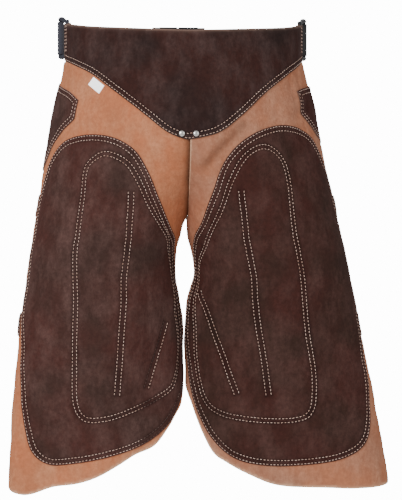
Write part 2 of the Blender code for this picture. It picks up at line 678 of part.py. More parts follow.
def make_side_loop(side):
    """Moulded loop that joins the yoke's end to the belt: a rounded oblong of round bar."""
    front, _, _ = loop_bar(side)
    rear = Vector((side * LOOP_REAR[0], LOOP_REAR[1], 0.0))
    along = (rear - front).normalized()
    half_long = (rear - front).length / 2
    half_high = LOOP_HEIGHT / 2 - LOOP_RADIUS
    middle = (front + rear) / 2 + Vector((0, 0, BELT_Z))
    points = []
    for quarter in range(4):
        for i in range(LOOP_CORNER_STEPS + 1):
            turn = math.radians(90 * (quarter + i / LOOP_CORNER_STEPS))
            reach_long = math.copysign(half_long - LOOP_CORNER, (1, -1, -1, 1)[quarter])
            reach_high = math.copysign(half_high - LOOP_CORNER, (1, 1, -1, -1)[quarter])
            points.append(middle + along * (reach_long + LOOP_CORNER * math.cos(turn))
                          + Vector((0, 0, reach_high + LOOP_CORNER * math.sin(turn))))
    name = f"{side_name(side)}_belt_loop"
    curve = bpy.data.curves.new(name, "CURVE")
    curve.dimensions = "3D"
    curve.bevel_depth = LOOP_RADIUS * MM
    curve.bevel_resolution = 2
    spline = curve.splines.new("POLY")
    spline.points.add(len(points) - 1)
    spline.use_cyclic_u = True
    for knot, point in zip(spline.points, points):
        knot.co = (*(point * MM), 1.0)
    thing = bpy.data.objects.new(name, curve)
    bpy.data.collections[COLLECTION].objects.link(thing)
    curve.materials.append(finish_for(name, "plastic"))


def block(name, low, high, collection):
    """Box between two corners, given from the buckle's middle, in mm."""
    shape = bmesh.new()
    bmesh.ops.create_cube(shape, size=1.0)
    low, high = Vector(low), Vector(high)
    for vert in shape.verts:
        vert.co = Vector((vert.co[i] * (high[i] - low[i]) + (high[i] + low[i]) / 2 for i in range(3))) * MM
    return place_at_buckle(name, shape, collection)


def bar(name, x, collection):
    """Upright round bar of the buckle."""
    shape = bmesh.new()
    bmesh.ops.create_cone(shape, cap_ends=True, segments=BAR_SIDES, radius1=BUCKLE_BAR_RADIUS * MM,
                          radius2=BUCKLE_BAR_RADIUS * MM, depth=(BUCKLE_HEIGHT - 2 * BAR_INSET) * MM)
    bmesh.ops.translate(shape, verts=shape.verts, vec=(x * MM, 0, 0))
    return place_at_buckle(name, shape, collection)


def place_at_buckle(name, shape, collection):
    """Object whose location is the buckle's middle."""
    mesh = bpy.data.meshes.new(name)
    shape.to_mesh(mesh)
    shape.free()
    thing = bpy.data.objects.new(name, mesh)
    thing.location = (0.0, buckle_bar().y * MM, BELT_Z * MM)
    bpy.data.collections[collection].objects.link(thing)
    return thing


def combine(thing, operation, tools):
    """Join or cut a piece with others, which stay as hidden guides."""
    for tool in tools:
        modifier = thing.modifiers.new(operation.lower(), "BOOLEAN")
        modifier.operation = operation
        modifier.solver = "EXACT"
        modifier.object = tool
        tool.hide_render = True
        tool.display_type = "WIRE"


def make_buckle():
    """Fastened side-release buckle: a socket on the left half, a plug on the right half."""
    half, thick, body_end = BUCKLE_HEIGHT / 2, BUCKLE_THICK / 2, BUCKLE_BAR_X - BODY_TO_BAR
    for side, name in ((-1, "buckle_socket"), (1, "buckle_plug")):
        inner_x, outer_x = (-MEETING_X if side < 0 else -MEETING_X + GAP), side * body_end
        low_x, high_x = min(inner_x, outer_x), max(inner_x, outer_x)
        body = block(name, (low_x, -thick, -half), (high_x, thick, half), COLLECTION)
        edges = body.modifiers.new("rounded", "BEVEL")
        edges.width = BODY_ROUND * MM
        edges.segments = 2
        rail_x = sorted((side * (body_end - RAIL_LAP), side * (BUCKLE_BAR_X + RAIL_LAP)))
        joined = [bar(f"{name}_bar", side * BUCKLE_BAR_X, "guides")]
        for up in (-1, 1):
            z = sorted((up * (half - RAIL_INSET), up * (half - RAIL_HEIGHT)))
            joined.append(block(f"{name}_rail", (rail_x[0], -thick / 2, z[0]), (rail_x[1], thick / 2, z[1]),
                                "guides"))
        if side > 0:
            joined += prong_blocks(name, half)
        combine(body, "UNION", joined)
        if side < 0:
            combine(body, "DIFFERENCE", socket_hollows(name, half))
        body.data.materials.append(finish_for(name, "plastic"))


def prong_blocks(name, half):
    """Tongue of the plug and the two catches that show in the socket's windows."""
    reach, width, flat = PRONG_REACH, half - PRONG_INSET, PRONG_THICK / 2
    tongue = block(f"{name}_tongue", (-reach, -flat, -width), (MEETING_X, flat, width), "guides")
    catches = block(f"{name}_catches", (CATCH_START - reach, -flat, CATCH_INSET - half),
                    (CATCH_END - reach, flat, half - CATCH_INSET), "guides")
    return [tongue, catches]


def socket_hollows(name, half):
    """Room for the tongue in the socket and the windows of the catches."""
    reach, width, flat = PRONG_REACH, half - PRONG_INSET, PRONG_THICK / 2
    hollow = block(f"{name}_hollow",
                   (-reach - HOLLOW_EXTRA, -flat - PRONG_SLACK, -width - PRONG_SLACK),
                   (MEETING_X, flat + PRONG_SLACK, width + PRONG_SLACK), "guides")
    windows = block(f"{name}_windows",
                    (CATCH_START - WINDOW_EXTRA - reach, -flat - WINDOW_SLACK, -half - WINDOW_EXTRA),
                    (CATCH_END + WINDOW_EXTRA - reach, flat + WINDOW_SLACK, half + WINDOW_EXTRA), "guides")
    return [hollow, windows]


def make_rivet(side):
    """Domed rivet head at the point of the V."""
    name = f"{side_name(side)}_rivet"
    mesh = bpy.data.meshes.new(name)
    points = [(x * RIVET_RADIUS * MM, 0.0, z * RIVET_HEIGHT * MM) for x, z in RIVET_PROFILE]
    mesh.from_pydata(points, [(i, i + 1) for i in range(len(points) - 1)], [])
    thing = bpy.data.objects.new(name, mesh)
    turned = thing.modifiers.new("turned", "SCREW")
    turned.steps = turned.render_steps = RIVET_STEPS
    turned.use_merge_vertices = True
    turned.merge_threshold = RIVET_RADIUS * MM / 100
    place = yoke_place(side * RIVET_TURN, RIVET_Z, GAP + YOKE + GAP)
    deeper = yoke_place(side * RIVET_TURN, RIVET_Z, 0.0)
    thing.location = place * MM
    thing.rotation_euler = (place - deeper).to_track_quat("Z", "Y").to_euler()
    bpy.data.collections[COLLECTION].objects.link(thing)
    mesh.materials.append(finish_for(name, "nickel"))


def main():
    """Build every piece."""
    clear_scene()
    for name in (COLLECTION, "guides"):
        bpy.context.scene.collection.children.link(bpy.data.collections.new(name))
    make_yoke()
    panels = {-1: LEFT_PANEL, 1: RIGHT_PANEL}
    pockets = {-1: LEFT_POCKET, 1: RIGHT_POCKET}
    for side in (-1, 1):
        word = side_name(side)
        make_piece(f"{word}_panel", side, panels[side], PANEL_LAYER, "tan_suede")
        make_piece(f"{word}_knife_pocket", side, pockets[side], PATCH_LAYER, "dark_suede")
        make_piece(f"{word}_upper_strap_base", side, UPPER_BASE, PATCH_LAYER, "dark_suede")
        make_piece(f"{word}_lower_strap_base", side, LOWER_BASE, PATCH_LAYER, "dark_suede")
        make_strap(side, "upper", UPPER_STRAP_ENDS)
        make_strap(side, "lower", LOWER_STRAP_ENDS)
        make_belt(side)
        make_side_loop(side)
        make_rivet(side)
    make_leg_patch(-1, LEFT_LEG_PATCH, LEFT_PAD, LEFT_CHANNELS)
    make_leg_patch(1, RIGHT_LEG_PATCH, RIGHT_PAD, RIGHT_CHANNELS)
    make_piece("size_tab", -1, SIZE_TAB, TAB_LAYER, "white_tape")
    make_buckle()


main()
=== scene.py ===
"""Looks of the farrier chaps: suede with its sewing, webbing and fittings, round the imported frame.

Flat places are (u, v) in mm: u is the turn round the leg times MM_PER_DEGREE and v is the height z.
Side -1 is the left one, at -X. The front faces -Y.
"""
import math

import bpy
import numpy as np
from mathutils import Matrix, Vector
from mathutils.geometry import delaunay_2d_cdt
from mathutils.kdtree import KDTree


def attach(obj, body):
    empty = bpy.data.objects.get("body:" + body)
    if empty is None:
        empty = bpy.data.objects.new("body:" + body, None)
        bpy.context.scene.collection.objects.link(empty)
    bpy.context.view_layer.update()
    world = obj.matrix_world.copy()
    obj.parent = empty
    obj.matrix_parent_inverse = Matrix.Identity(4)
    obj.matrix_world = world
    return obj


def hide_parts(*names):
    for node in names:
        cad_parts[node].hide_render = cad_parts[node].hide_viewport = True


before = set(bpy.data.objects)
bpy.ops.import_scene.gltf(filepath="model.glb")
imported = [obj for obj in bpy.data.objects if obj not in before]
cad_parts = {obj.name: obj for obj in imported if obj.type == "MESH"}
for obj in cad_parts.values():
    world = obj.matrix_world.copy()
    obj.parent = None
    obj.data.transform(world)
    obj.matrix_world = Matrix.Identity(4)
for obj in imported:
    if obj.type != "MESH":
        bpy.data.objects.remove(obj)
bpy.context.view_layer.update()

MM = 0.001

# Photograph's camera: turn to the left, distance, height, shift along the view, height of the picture, m
CAMERA_TURN, CAMERA_DISTANCE, CAMERA_Z = -4.0, 3.0, -0.3224
CAMERA_SHIFT, PICTURE_HEIGHT = 0.0279, 0.775
SENSOR = 36.0

# Surroundings, floor and lamps
WORLD_LEVEL, WORLD_GLOW = 0.55, 14.0
FLOOR_FADE, FLOOR_RADIUS, FLOOR_Z = 1.2, 2.2, -1.02
# Brightest way of the surroundings, and the cosines between which they brighten
GLOW_WAY, GLOW_EDGES = (0.07, 0.9976, 0.0), (0.95, 0.984)
# Lamps: name, place, target, width and power
LAMPS = [
    ("key", (-1.7, -2.8, 0.9), (0, 0, -0.3), 1.6, 85.0),
    ("fill", (2.2, -2.2, 0.3), (0, 0, -0.4), 1.8, 14.0),
    ("back", (0.5, 2.8, 0.9), (0, 0, -0.3), 1.8, 16.0),
]

# Layers as offsets from the outer face of the tan legs, mm
GAP, PANEL, PATCH, YOKE, TAB, WEBBING = 0.3, 2.0, 1.8, 2.0, 0.8, 1.6
PANEL_LAYER = (-PANEL, 0.0)
PATCH_LAYER = (GAP, GAP + PATCH)
YOKE_LAYER = (GAP, GAP + YOKE)
TAB_LAYER = (GAP, GAP + TAB)
STRAP_LAYER = (-PANEL - GAP - WEBBING, -PANEL - GAP)
STRAP_LAP = WEBBING + GAP
MM_PER_DEGREE = 1.9
SIDE_WORDS = {-1: "left", 1: "right"}

# Waist and hips: z, half width on the left and on the right, front depth
HIP_ROWS = [
    (45, 184, 184, 129), (0, 184.5, 184.5, 131), (-30, 185, 186, 134), (-50, 186.5, 190, 137),
    (-105, 199, 203.5, 141), (-150, 207, 211.5, 143), (-200, 216, 222.5, 143),
    (-260, 226, 232.5, 143), (-330, 238, 243, 143),
]
# Each leg: z, inner reach, outer reach, depth of its middle, depth of its front
LEFT_LEG_ROWS = [
    (-100, 0, 198, -6, 132), (-150, 0, 207, -8, 130), (-200, 1, 216, -10, 128),
    (-260, 2, 225, -12, 126), (-300, 6, 232, -14, 125), (-322, 11, 237, -16, 124),
    (-360, 13, 241.5, -20, 120), (-400, 5, 247.5, -24, 116), (-440, 0.8, 252.5, -28, 112),
    (-500, 0.8, 256, -32, 106), (-560, 1, 261, -34, 102), (-632, 2, 266, -36, 100),
    (-710, 2, 272, -38, 98),
]
RIGHT_LEG_ROWS = [
    (-100, 0, 206.5, -6, 132), (-150, 0, 214.5, -8, 130), (-200, 1, 225.5, -10, 128),
    (-260, 2, 237.5, -12, 126), (-300, 6, 245, -14, 125), (-322, 12, 249.5, -16, 124),
    (-360, 15, 257.5, -20, 120), (-400, 5, 267.5, -24, 116), (-440, 0.8, 274.5, -28, 112),
    (-500, 0.8, 286, -32, 106), (-560, 1, 295.5, -34, 102), (-632, 2, 307.5, -36, 100),
    (-710, 2, 319.5, -38, 98),
]
LEG_ROWS = {-1: LEFT_LEG_ROWS, 1: RIGHT_LEG_ROWS}
LEG_STARTS, LEG_ALONE = -150.0, -330.0
HIP_TURN, HIP_TURN_GAIN = 0.3111, 0.001049
BACK_FROM, BACK_TO, STRAP_BULGE = 200.0, 328.0, 1.15

# A fold fades towards its ends as the root of a half wave that it enters and leaves part way
FADE_START, FADE_SPAN = 0.15, 0.8
# Large folds: side, turn and z of each end, width and height in mm (a trough is negative)
FOLD_ROWS = [
    (-1, 40, -415, 60, -545, 20, -5.0),
    (-1, 17, -330, 20, -500, 15, -3.0),
    (-1, 52, -560, 62, -700, 24, -5.0),
    (-1, 88, -610, 92, -710, 28, 5.0),
    (-1, 122, -585, 120, -710, 26, -5.0),
    (-1, 158, -520, 152, -710, 30, 5.0),
    (-1, 188, -330, 186, -520, 24, -4.0),
    (-1, 150, -95, 120, -150, 20, -2.5),
    (1, 30, -385, 62, -545, 20, -3.5),
    (1, 38, -205, 66, -150, 14, -3.0),
    (1, 60, -570, 70, -700, 26, 4.0),
    (1, 100, -600, 104, -710, 28, -4.0),
    (1, 140, -560, 146, -710, 30, 5.0),
    (1, 188, -300, 184, -500, 24, -4.0),
    (1, 168, -380, 160, -560, 22, -2.5),
    (1, 150, -95, 122, -145, 20, -2.5),
]
# Creases that are too fine for the frame, in the same columns
CREASE_ROWS = [
    (1, 24, -196, 62, -136, 9, -3.4),
    (1, 12, -190, 44, -140, 10, 1.6),
    (1, 34, -222, 50, -180, 6, -1.6),
    (1, 96, -88, 150, -62, 11, -2.4),
    (1, 118, -122, 160, -96, 8, -2.0),
    (1, 140, -40, 146, -118, 7, -1.8),
    (1, 124, -50, 128, -130, 6, -1.4),
    (1, 12, -232, 20, -330, 8, -1.4),
    (-1, 30, -172, 62, -140, 9, -1.0),
    (-1, 10, -240, 22, -330, 8, -1.6),
    (-1, 100, -105, 140, -75, 9, -1.0),
    (-1, 4, -400, 10, -520, 7, -2.0),
    (-1, 150, -600, 146, -690, 9, -1.8),
    (-1, 72, -640, 80, -690, 8, 1.6),
    (1, 84, -640, 92, -690, 8, 1.6),
    (1, 124, -630, 132, -690, 9, -1.8),
    (1, 170, -440, 176, -600, 9, -1.6),
    (-1, 176, -430, 182, -600, 9, 1.6),
]
# Slow unevenness of hanging suede: wavelength in mm, direction in degrees, height in mm
RIPPLE_ROWS = [(96, 12, 0.5), (71, 78, 0.35), (53, 140, 0.28), (37, 33, 0.16), (29, 105, 0.12)]
RIPPLE_TOP, RIPPLE_FADE, RIPPLE_SHIFT, SIDE_SHIFT = -60.0, 60.0, 0.37, 0.21

# Outlines as rows of turn and z. A third value of 1 marks a corner.
YOKE_TOP = [(165, 24.5, 1), (145, 20), (118, 14), (90, 10), (60, 7), (30, 5)]
YOKE_TOP_CENTRE = 4.0
YOKE_LEFT_EDGE = [(22, -151), (33, -142), (44, -130), (65, -107), (88, -83), (112, -60), (138, -44)]
YOKE_RIGHT_EDGE = [(28, -152), (41, -144), (53, -131), (64, -118), (88, -88), (112, -65), (136, -47)]
YOKE_POINT = (6, -158)
YOKE_END, YOKE_CORNER, UPRIGHT_FROM = 165.0, -32.0, 135.0
TAB_TOP, TAB_BOTTOM, TAB_LENGTH = 24.0, -15.0, 24.0

LEFT_PANEL = [
    (0.4, -142, 1), (20, -136), (32, -127), (43, -115), (65, -91), (88, -67), (112, -46), (135, -35),
    (152, -32.5), (172, -35), (186, -45), (196, -78), (201, -130), (203, -200), (203, -260),
    (201, -330), (199, -400), (195, -490), (190, -570), (186, -630), (182, -662), (172, -681),
    (149, -690), (136, -689), (120, -678), (103, -672), (90, -662), (77, -646), (64, -630),
    (49, -618), (37, -593), (25, -570), (11, -551), (0, -530), (-3, -495), (-5, -460), (-9, -430),
    (-18, -402), (-27, -372), (-28, -345), (-22, -318), (-12, -295), (-3, -272), (0, -250),
    (0.4, -225), (0.4, -185),
]
RIGHT_PANEL = [
    (0.4, -142, 1), (28, -136), (41, -128), (53, -115), (64, -102), (88, -72), (112, -50), (135, -37),
    (152, -32.5), (172, -35), (186, -45), (196, -78), (201, -130), (203, -200), (203, -260),
    (201, -330), (199, -400), (194, -490), (189, -560), (185, -610), (180, -650), (174, -675),
    (157, -682), (130, -684), (112, -682), (95, -680), (80, -675), (66, -660), (52, -643),
    (42, -629), (31, -595), (23, -567), (14, -543), (1, -520), (-4, -490), (-8, -450), (-16, -412),
    (-26, -385), (-30, -358), (-24, -330), (-12, -303), (-2, -278), (1, -250), (0.8, -222),
    (0.4, -185),
]
LEFT_LEG_PATCH = [
    (107, -150), (134, -158), (151, -185), (160, -219), (166, -265), (164, -315), (165, -376),
    (166, -417), (161, -474), (154, -534), (146, -588), (138, -625), (124, -644), (106, -642),
    (80, -630), (56, -613), (38, -588), (22, -556), (10, -526), (8, -485), (13, -437), (12, -386),
    (12, -345), (20, -311), (33, -285), (42, -248), (48, -209), (59, -176), (80, -156),
]
RIGHT_LEG_PATCH = [
    (107, -135), (129, -141), (144, -156), (155, -179), (165, -215), (166, -270), (167, -340),
    (166, -400), (161, -455), (159, -519), (152, -572), (142, -612), (127, -634), (106, -645),
    (80, -647), (58, -636), (41, -606), (29, -570), (19, -529), (12, -480), (9, -424), (9, -384),
    (8, -345), (14, -313), (30, -281), (36, -239), (40, -201), (51, -173), (68, -152), (88, -139),
]
LEFT_PAD = [
    (87, -176), (100, -185), (108, -202), (111, -241), (114, -300), (111, -389), (110, -479),
    (108, -546), (101, -576), (86, -578), (62, -561), (38, -538), (30, -522), (23, -485),
    (25, -421), (22, -360), (32, -310), (43, -282), (51, -256), (58, -215), (68, -189),
]
RIGHT_PAD = [
    (84, -166), (96, -178), (103, -200), (107, -249), (108, -340), (109, -440), (110, -518),
    (106, -566), (94, -581), (70, -580), (48, -570), (35, -549), (27, -505), (24, -441), (19, -384),
    (19, -345), (34, -311), (46, -266), (50, -219), (58, -187), (71, -169),
]
LEFT_CHANNELS = [
    [(68, -235), (73, -286), (73, -336), (75, -387), (77, -437), (78, -488), (79, -540)],
    [(40, -430), (46, -464), (52, -498), (57.5, -530)],
]
RIGHT_CHANNELS = [
    [(63, -233), (70, -284), (71, -336), (74, -388), (77, -439), (79, -489), (80.5, -541)],
    [(25.5, -385), (36.5, -410), (43.5, -437), (48.5, -462), (53, -488), (57, -515), (61, -540)],
]
LEFT_POCKET = [
    (162, -73, 1), (141, -83), (125, -97, 1), (127, -125, 1), (141, -143), (155, -166),
    (170, -193), (186, -200, 1), (188, -64, 1),
]
RIGHT_POCKET = [
    (162, -71, 1), (146, -75), (131, -81, 1), (134, -115, 1), (146, -133), (158, -147),
    (187, -160, 1), (188, -66, 1),
]
SIZE_TAB = [(111, -63.5, 1), (97, -77.5, 1), (101.5, -89, 1), (116, -74.5, 1)]
BASES = {
    "upper": [(172, -238, 1), (196, -238, 1), (196, -271, 1), (172, -271, 1)],
    "lower": [(170, -418, 1), (192, -418, 1), (191, -453, 1), (168, -453, 1)],
}
# By side: panel, patch, padding, channels and pocket
LEG_OUTLINES = {
    -1: (LEFT_PANEL, LEFT_LEG_PATCH, LEFT_PAD, LEFT_CHANNELS, LEFT_POCKET),
    1: (RIGHT_PANEL, RIGHT_LEG_PATCH, RIGHT_PAD, RIGHT_CHANNELS, RIGHT_POCKET),
}

# Padding of the leg patches, a little fuller than in the frame
PAD_RISE, PAD_SLOPE = 2.8, 13.0
CHANNEL_DEPTH, CHANNEL_SLOPE = 2.2, 10.0

# Sewing, mm: first row from a cut edge, space between twin rows, then the stitches and their holes
ROW_INSET, TWIN, CHANNEL_TWIN = 2.2, 6.4, 7.8
PITCH, STITCH_LENGTH, STITCH_RADIUS, STITCH_DIP = 5.3, 3.4, 0.46, 0.5
HOLE_RADIUS, HOLE_DEPTH = 0.75, 0.4
GROOVE_DEPTH, GROOVE_WIDTH = 0.7, 1.8
FINE_STEP, SOFTENING, CROWDED = 1.0, 10, 0.12
# Stitch in shares of its half length and its thickness
STITCH_STATIONS = [(-0.9, 0.72), (-0.55, 1.0), (0.0, 1.0), (0.55, 1.0), (0.9, 0.72)]
STITCH_SIDES, STITCH_LIFT, HOLE_RIM = 6, STITCH_RADIUS * 0.55, 0.1
# How unevenly stitches turn, lie along and across the row, and vary in length
STITCH_TURN, STITCH_ALONG, STITCH_ACROSS, STITCH_STRETCH = 0.06, 0.15, 0.12, 0.05
# How far in from a cut edge its wear shows, and the rounding of the cut edge, mm
EDGE_WEAR, EDGE_ROUND, EDGE_DROP = 1.6, 1.3, 0.35
# Cloth's mesh in shares of its spacing: rows, and clear of the edge and of lines; then merging, mm
ROW_SHARE, EDGE_CLEAR, LINE_CLEAR, MERGE, LEAST_FACE = 0.866, 0.55, 0.5, 1e-4, 1e-3
# Lines and points along each that measure a flat size
FLAT_LINES, FLAT_POINTS = 21, 200
# How much of the seams' dark press shows on the inner face, and the slot of each kind of cloth
INNER_PRESS = 0.6
CLOTH_SLOTS = {"tan": "tan_suede", "dark": "dark_suede", "tape": "white_tape"}

# Rivets: place on the yoke, then a profile in shares of the radius and the height
RIVET_TURN, RIVET_Z, RIVET_RADIUS, RIVET_HEIGHT = 9.0, -150.5, 4.5, 2.2
RIVET_STEPS, RIVET_SUNK = 32, 0.4
RIVET_PROFILE = [
    (1.0, 0.0), (1.0, 0.22), (0.95, 0.4), (0.84, 0.6), (0.67, 0.79), (0.45, 0.92), (0.2, 0.985),
]

# Slit between the legs: z of its end and how softly it ends, width of its painted shadow line and of its lap,
# mm
SLIT_END, SLIT_FADE, SLIT_LINE, SLIT_REACH = -287.0, 30.0, 12.0, 14.0
# Shift of each edge, then what the left one moves more from a height down, over a distance
SLIT_SHIFTS = {-1: (4.4, 2.6, 0.0), 1: (2.1, 0.0, 0.0)}
SLIT_CLOSING, SLIT_LOW, SLIT_LOW_FADE = 3.4, -212.0, 20.0
# Painted shade: at the crotch (z, height, turn, width, most), then from a turn on over a width, and most, on
# the inner face and on the patch's inner side
CROTCH_GLOOM = (-262.0, 62.0, 2.0, 11.0, 0.2)
INNER_FACE_GLOOM, PATCH_GLOOM = (-2.0, 14.0, 0.4), (24.0, 20.0, 0.45)
# Painted shade lines: width in mm and most, along the hip crease, the channels and the padding's outline
HIP_CREASE = [(24, -196), (40, -170), (62, -136)]
CREASE_GLOOM, CHANNEL_GLOOM, PAD_GLOOM = (8.0, 0.42), (2.5, 0.35), (3.0, 0.25)
# Painted shade on the thread: places as z, its span, turn and its span, then how dark it is by side
THREAD_SHADE_PLACES = [(-537.0, 12.0, 66.0, 10.0), (-440.0, 60.0, 30.0, 10.0)]
THREAD_SHADE_LEVEL = {-1: 0.93, 1: 0.35}
# Hem of the right pocket's mouth, its step and how pale the step is, mm
HEM_WIDTH, HEM_RISE, HEM_SLOPE, HEM_WEAR = 9.0, 1.0, 1.2, 0.9
# Yoke: how far the wear keeps clear of the V, and the rows across its folded ends
V_REACH, V_CALM = 6.0, 0.85
END_ROW_BACK, END_ROW_LOW, END_ROW_HIGH = 5.0, -20.0, 22.0

# Straps: height of the middle at the outer and the inner end, and turns of their ends and laps
STRAP_WIDTH = 25.0
STRAP_LEVELS = {"upper": (-254.5, -290.0), "lower": (-435.5, -441.0)}
STRAP_START, STRAP_FINISH, LAP_FROM, LAP_TO = 176.0, 376.0, 248.0, 296.0
BACK_STEPS_START, BACK_STEPS_END, STRAP_STATIONS = 206.0, 240.0, 90
# Webbing's section: shares of its half width and of its half thickness
BAND_PROFILE = [
    (-1.0, 0.3), (-0.985, 0.75), (-0.95, 1.0), (-0.6, 1.0), (-0.2, 1.0), (0.2, 1.0), (0.6, 1.0),
    (0.95, 1.0), (0.985, 0.75), (1.0, 0.3),
]
BAND_SHARES, BAND_THICK = np.array(BAND_PROFILE).T

# Belt, side loops and buckle, mm
BELT_Z, BELT_WIDTH = 5.0, 50.0
LOOP_RADIUS, LOOP_HEIGHT, LOOP_CORNER, LOOP_CLEAR = 2.8, 64.0, 5.0, 0.6
LOOP_REAR = (189.0, 7.0)
LOOP_STEPS, LOOP_SPACING, BAR_SIDES = 8, 1.2, 20
# The loop's rails: how much thicker and wider than its bars at the rear, and lower at the front
RAIL_EXTRA, RAIL_WIDER, FRONT_DROP, RAIL_FROM, RAIL_FADE = 0.7, 2.0, 6.8, 0.2, 0.6
BELT_HALF_WIDTH, BELT_MIDDLE_Y, BELT_DEPTH = 193.2, 12.0, 105.0
BELT_LAP = WEBBING + GAP
SIDE_TAIL = [(26, -BELT_LAP), (20, -BELT_LAP), (14, -BELT_LAP), (9, -BELT_LAP)]
SIDE_TAIL_BEND = (-3.15, 9.0)
BELT_RUN = [(4 * i, 0.0) for i in range(1, 19)] + [(75, 0.0)]
BUCKLE_TAIL = [(76, 4.6), (74, 2.3), (71.5, BELT_LAP), (68, BELT_LAP), (64, BELT_LAP), (60, BELT_LAP)]
BUCKLE_BAR_X, BUCKLE_BAR_RADIUS, TURN_STEPS, BELT_SPACING = 40.0, 2.5, 8, 1.6
WRAP_RADIUS = LOOP_RADIUS + LOOP_CLEAR
WRAP_LENGTH = math.pi * (WRAP_RADIUS + YOKE / 2)


# Worn form

def smoothstep(x):
    """0 below 0, 1 above 1, smooth between."""
    x = np.clip(x, 0.0, 1.0)
    return x * x * (3 - 2 * x)


def unit(vectors):
    """Vectors of length 1."""
    return vectors / np.linalg.norm(vectors, axis=-1, keepdims=True)


def lengths_along(points):
    """Distance along a line from its first point to each of its points."""
    return np.concatenate([[0], np.cumsum(np.linalg.norm(np.diff(points, axis=0), axis=1))])


def read_at(marks, lengths, values):
    """Rows of values, given at some lengths along a line, at other lengths."""
    return np.stack([np.interp(marks, lengths, one) for one in values.T], -1)


def bell(away, width):
    """1 at no distance, fading over a width."""
    return np.exp(-(away / width) ** 2)


def hermite(start, leave, end, arrive, s):
    """Cubic between two ends with their slopes."""
    return (start * (2 * s**3 - 3 * s**2 + 1) + leave * (s**3 - 2 * s**2 + s)
            + end * (3 * s**2 - 2 * s**3) + arrive * (s**3 - s**2))


def column(rows, index, z):
    """Smooth value of one column of a table at the heights z."""
    heights = np.array([row[0] for row in reversed(rows)], float)
    values = np.array([row[index] for row in reversed(rows)], float)
    order = np.arange(len(rows))
    low, high = np.maximum(order - 1, 0), np.minimum(order + 1, len(rows) - 1)
    slope = (values[high] - values[low]) / (heights[high] - heights[low])
    z = np.clip(z, heights[0], heights[-1])
    k = np.clip(np.searchsorted(heights, z, side="right") - 1, 0, len(rows) - 2)
    span = heights[k + 1] - heights[k]
    return hermite(values[k], slope[k] * span, values[k + 1], slope[k + 1] * span, (z - heights[k]) / span)


def form(side, t, z):
    """Smooth worn form: one ellipse round the hips that becomes one ellipse round each leg."""
    leg_share = smoothstep((LEG_STARTS - z) / (LEG_STARTS - LEG_ALONE))
    hip_turn = np.radians(HIP_TURN * t + HIP_TURN_GAIN * t * np.abs(t))
    hip_x = column(HIP_ROWS, 1 if side < 0 else 2, z) * np.sin(hip_turn)
    hip_y = -column(HIP_ROWS, 3, z) * np.cos(hip_turn)
    inner, outer, middle, front = (column(LEG_ROWS[side], i, z) for i in (1, 2, 3, 4))
    turn = np.radians(t)
    leg_x = (inner + outer) / 2 - (outer - inner) / 2 * np.cos(turn)
    leg_y = middle - (front + middle) * np.sin(turn)
    x = (1 - leg_share) * hip_x + leg_share * leg_x
    y = (1 - leg_share) * hip_y + leg_share * leg_y
    return np.stack([side * x, y, z + 0.0 * x], -1)


def across(surface, side, t, z):
    """Outward unit normals of a surface function."""
    round_step = surface(side, t + 0.5, z) - surface(side, t - 0.5, z)
    down_step = surface(side, t, z + 1) - surface(side, t, z - 1)
    return unit(np.cross(round_step, down_step) * side)


def fold_height(side, t, z):
    """Sum of the folds, creases and ripples at each place."""
    u = t * MM_PER_DEGREE
    total = np.zeros(np.broadcast(t, z).shape)
    for fold_side, t0, z0, t1, z1, width, height in FOLD_ROWS + CREASE_ROWS:
        if fold_side != side:
            continue
        du, dv = (t1 - t0) * MM_PER_DEGREE, z1 - z0
        pu, pv = u - t0 * MM_PER_DEGREE, z - z0
        along = np.clip((pu * du + pv * dv) / (du * du + dv * dv), 0.0, 1.0)
        away = np.hypot(pu - du * along, pv - dv * along)
        fade = np.sin(math.pi * (FADE_START + FADE_SPAN * along)) ** 0.5
        total += height * bell(away, width) * fade
    calm = smoothstep((RIPPLE_TOP - z) / RIPPLE_FADE)
    for k, (wavelength, direction, height) in enumerate(RIPPLE_ROWS):
        way = math.radians(direction)
        phase = (u * math.cos(way) + z * math.sin(way)) / wavelength + RIPPLE_SHIFT * k + SIDE_SHIFT * side
        total += calm * height * np.sin(2 * math.pi * phase)
    return total


def folded(side, t, z):
    """Worn form with its folds."""
    return form(side, t, z) + across(form, side, t, z) * fold_height(side, t, z)[..., None]


def back_curve(side, t, z):
    """Where a strap runs behind the open back of a leg."""
    first, last = np.full_like(t, BACK_FROM), np.full_like(t, BACK_TO - 360.0)
    start, end = folded(side, first, z), folded(side, last, z)
    leave = unit(start - folded(side, first - 1, z))
    arrive = unit(folded(side, last + 1, z) - end)
    pull = np.linalg.norm(end - start, axis=-1, keepdims=True) * STRAP_BULGE
    s = ((t - BACK_FROM) / (BACK_TO - BACK_FROM))[..., None]
    return hermite(start, leave * pull, end, arrive * pull, s)


def leg_place(side):
    """Function that puts flat places of one leg on its form, moved out by an offset."""
    def place(u, v, offset):
        t, v = np.broadcast_arrays(np.asarray(u, float) / MM_PER_DEGREE, np.asarray(v, float))
        behind = (t > BACK_FROM) & (t < BACK_TO)
        turned = np.where(t >= BACK_TO, t - 360.0, np.where(behind, BACK_FROM, t))
        point, normal = folded(side, turned, v), across(folded, side, turned, v)
        if behind.any():
            point[behind] = back_curve(side, t[behind], v[behind])
            normal[behind] = across(back_curve, side, t[behind], v[behind])
        return point + normal * np.broadcast_to(offset, t.shape)[..., None]
    return place


def loop_bar(side):
    """Axis of the side loop's front bar at the belt's height, with the directions out and back."""
    end, level = np.array([YOKE_END]), np.array([0.0])
    place, out = folded(side, end, level)[0], across(folded, side, end, level)[0]
    out = np.array([out[0], out[1], 0.0]) / math.hypot(out[0], out[1])
    back = np.array([-out[1], out[0], 0.0]) * side
    return np.array([place[0], place[1], 0.0]) + out * (GAP - WRAP_RADIUS), out, back


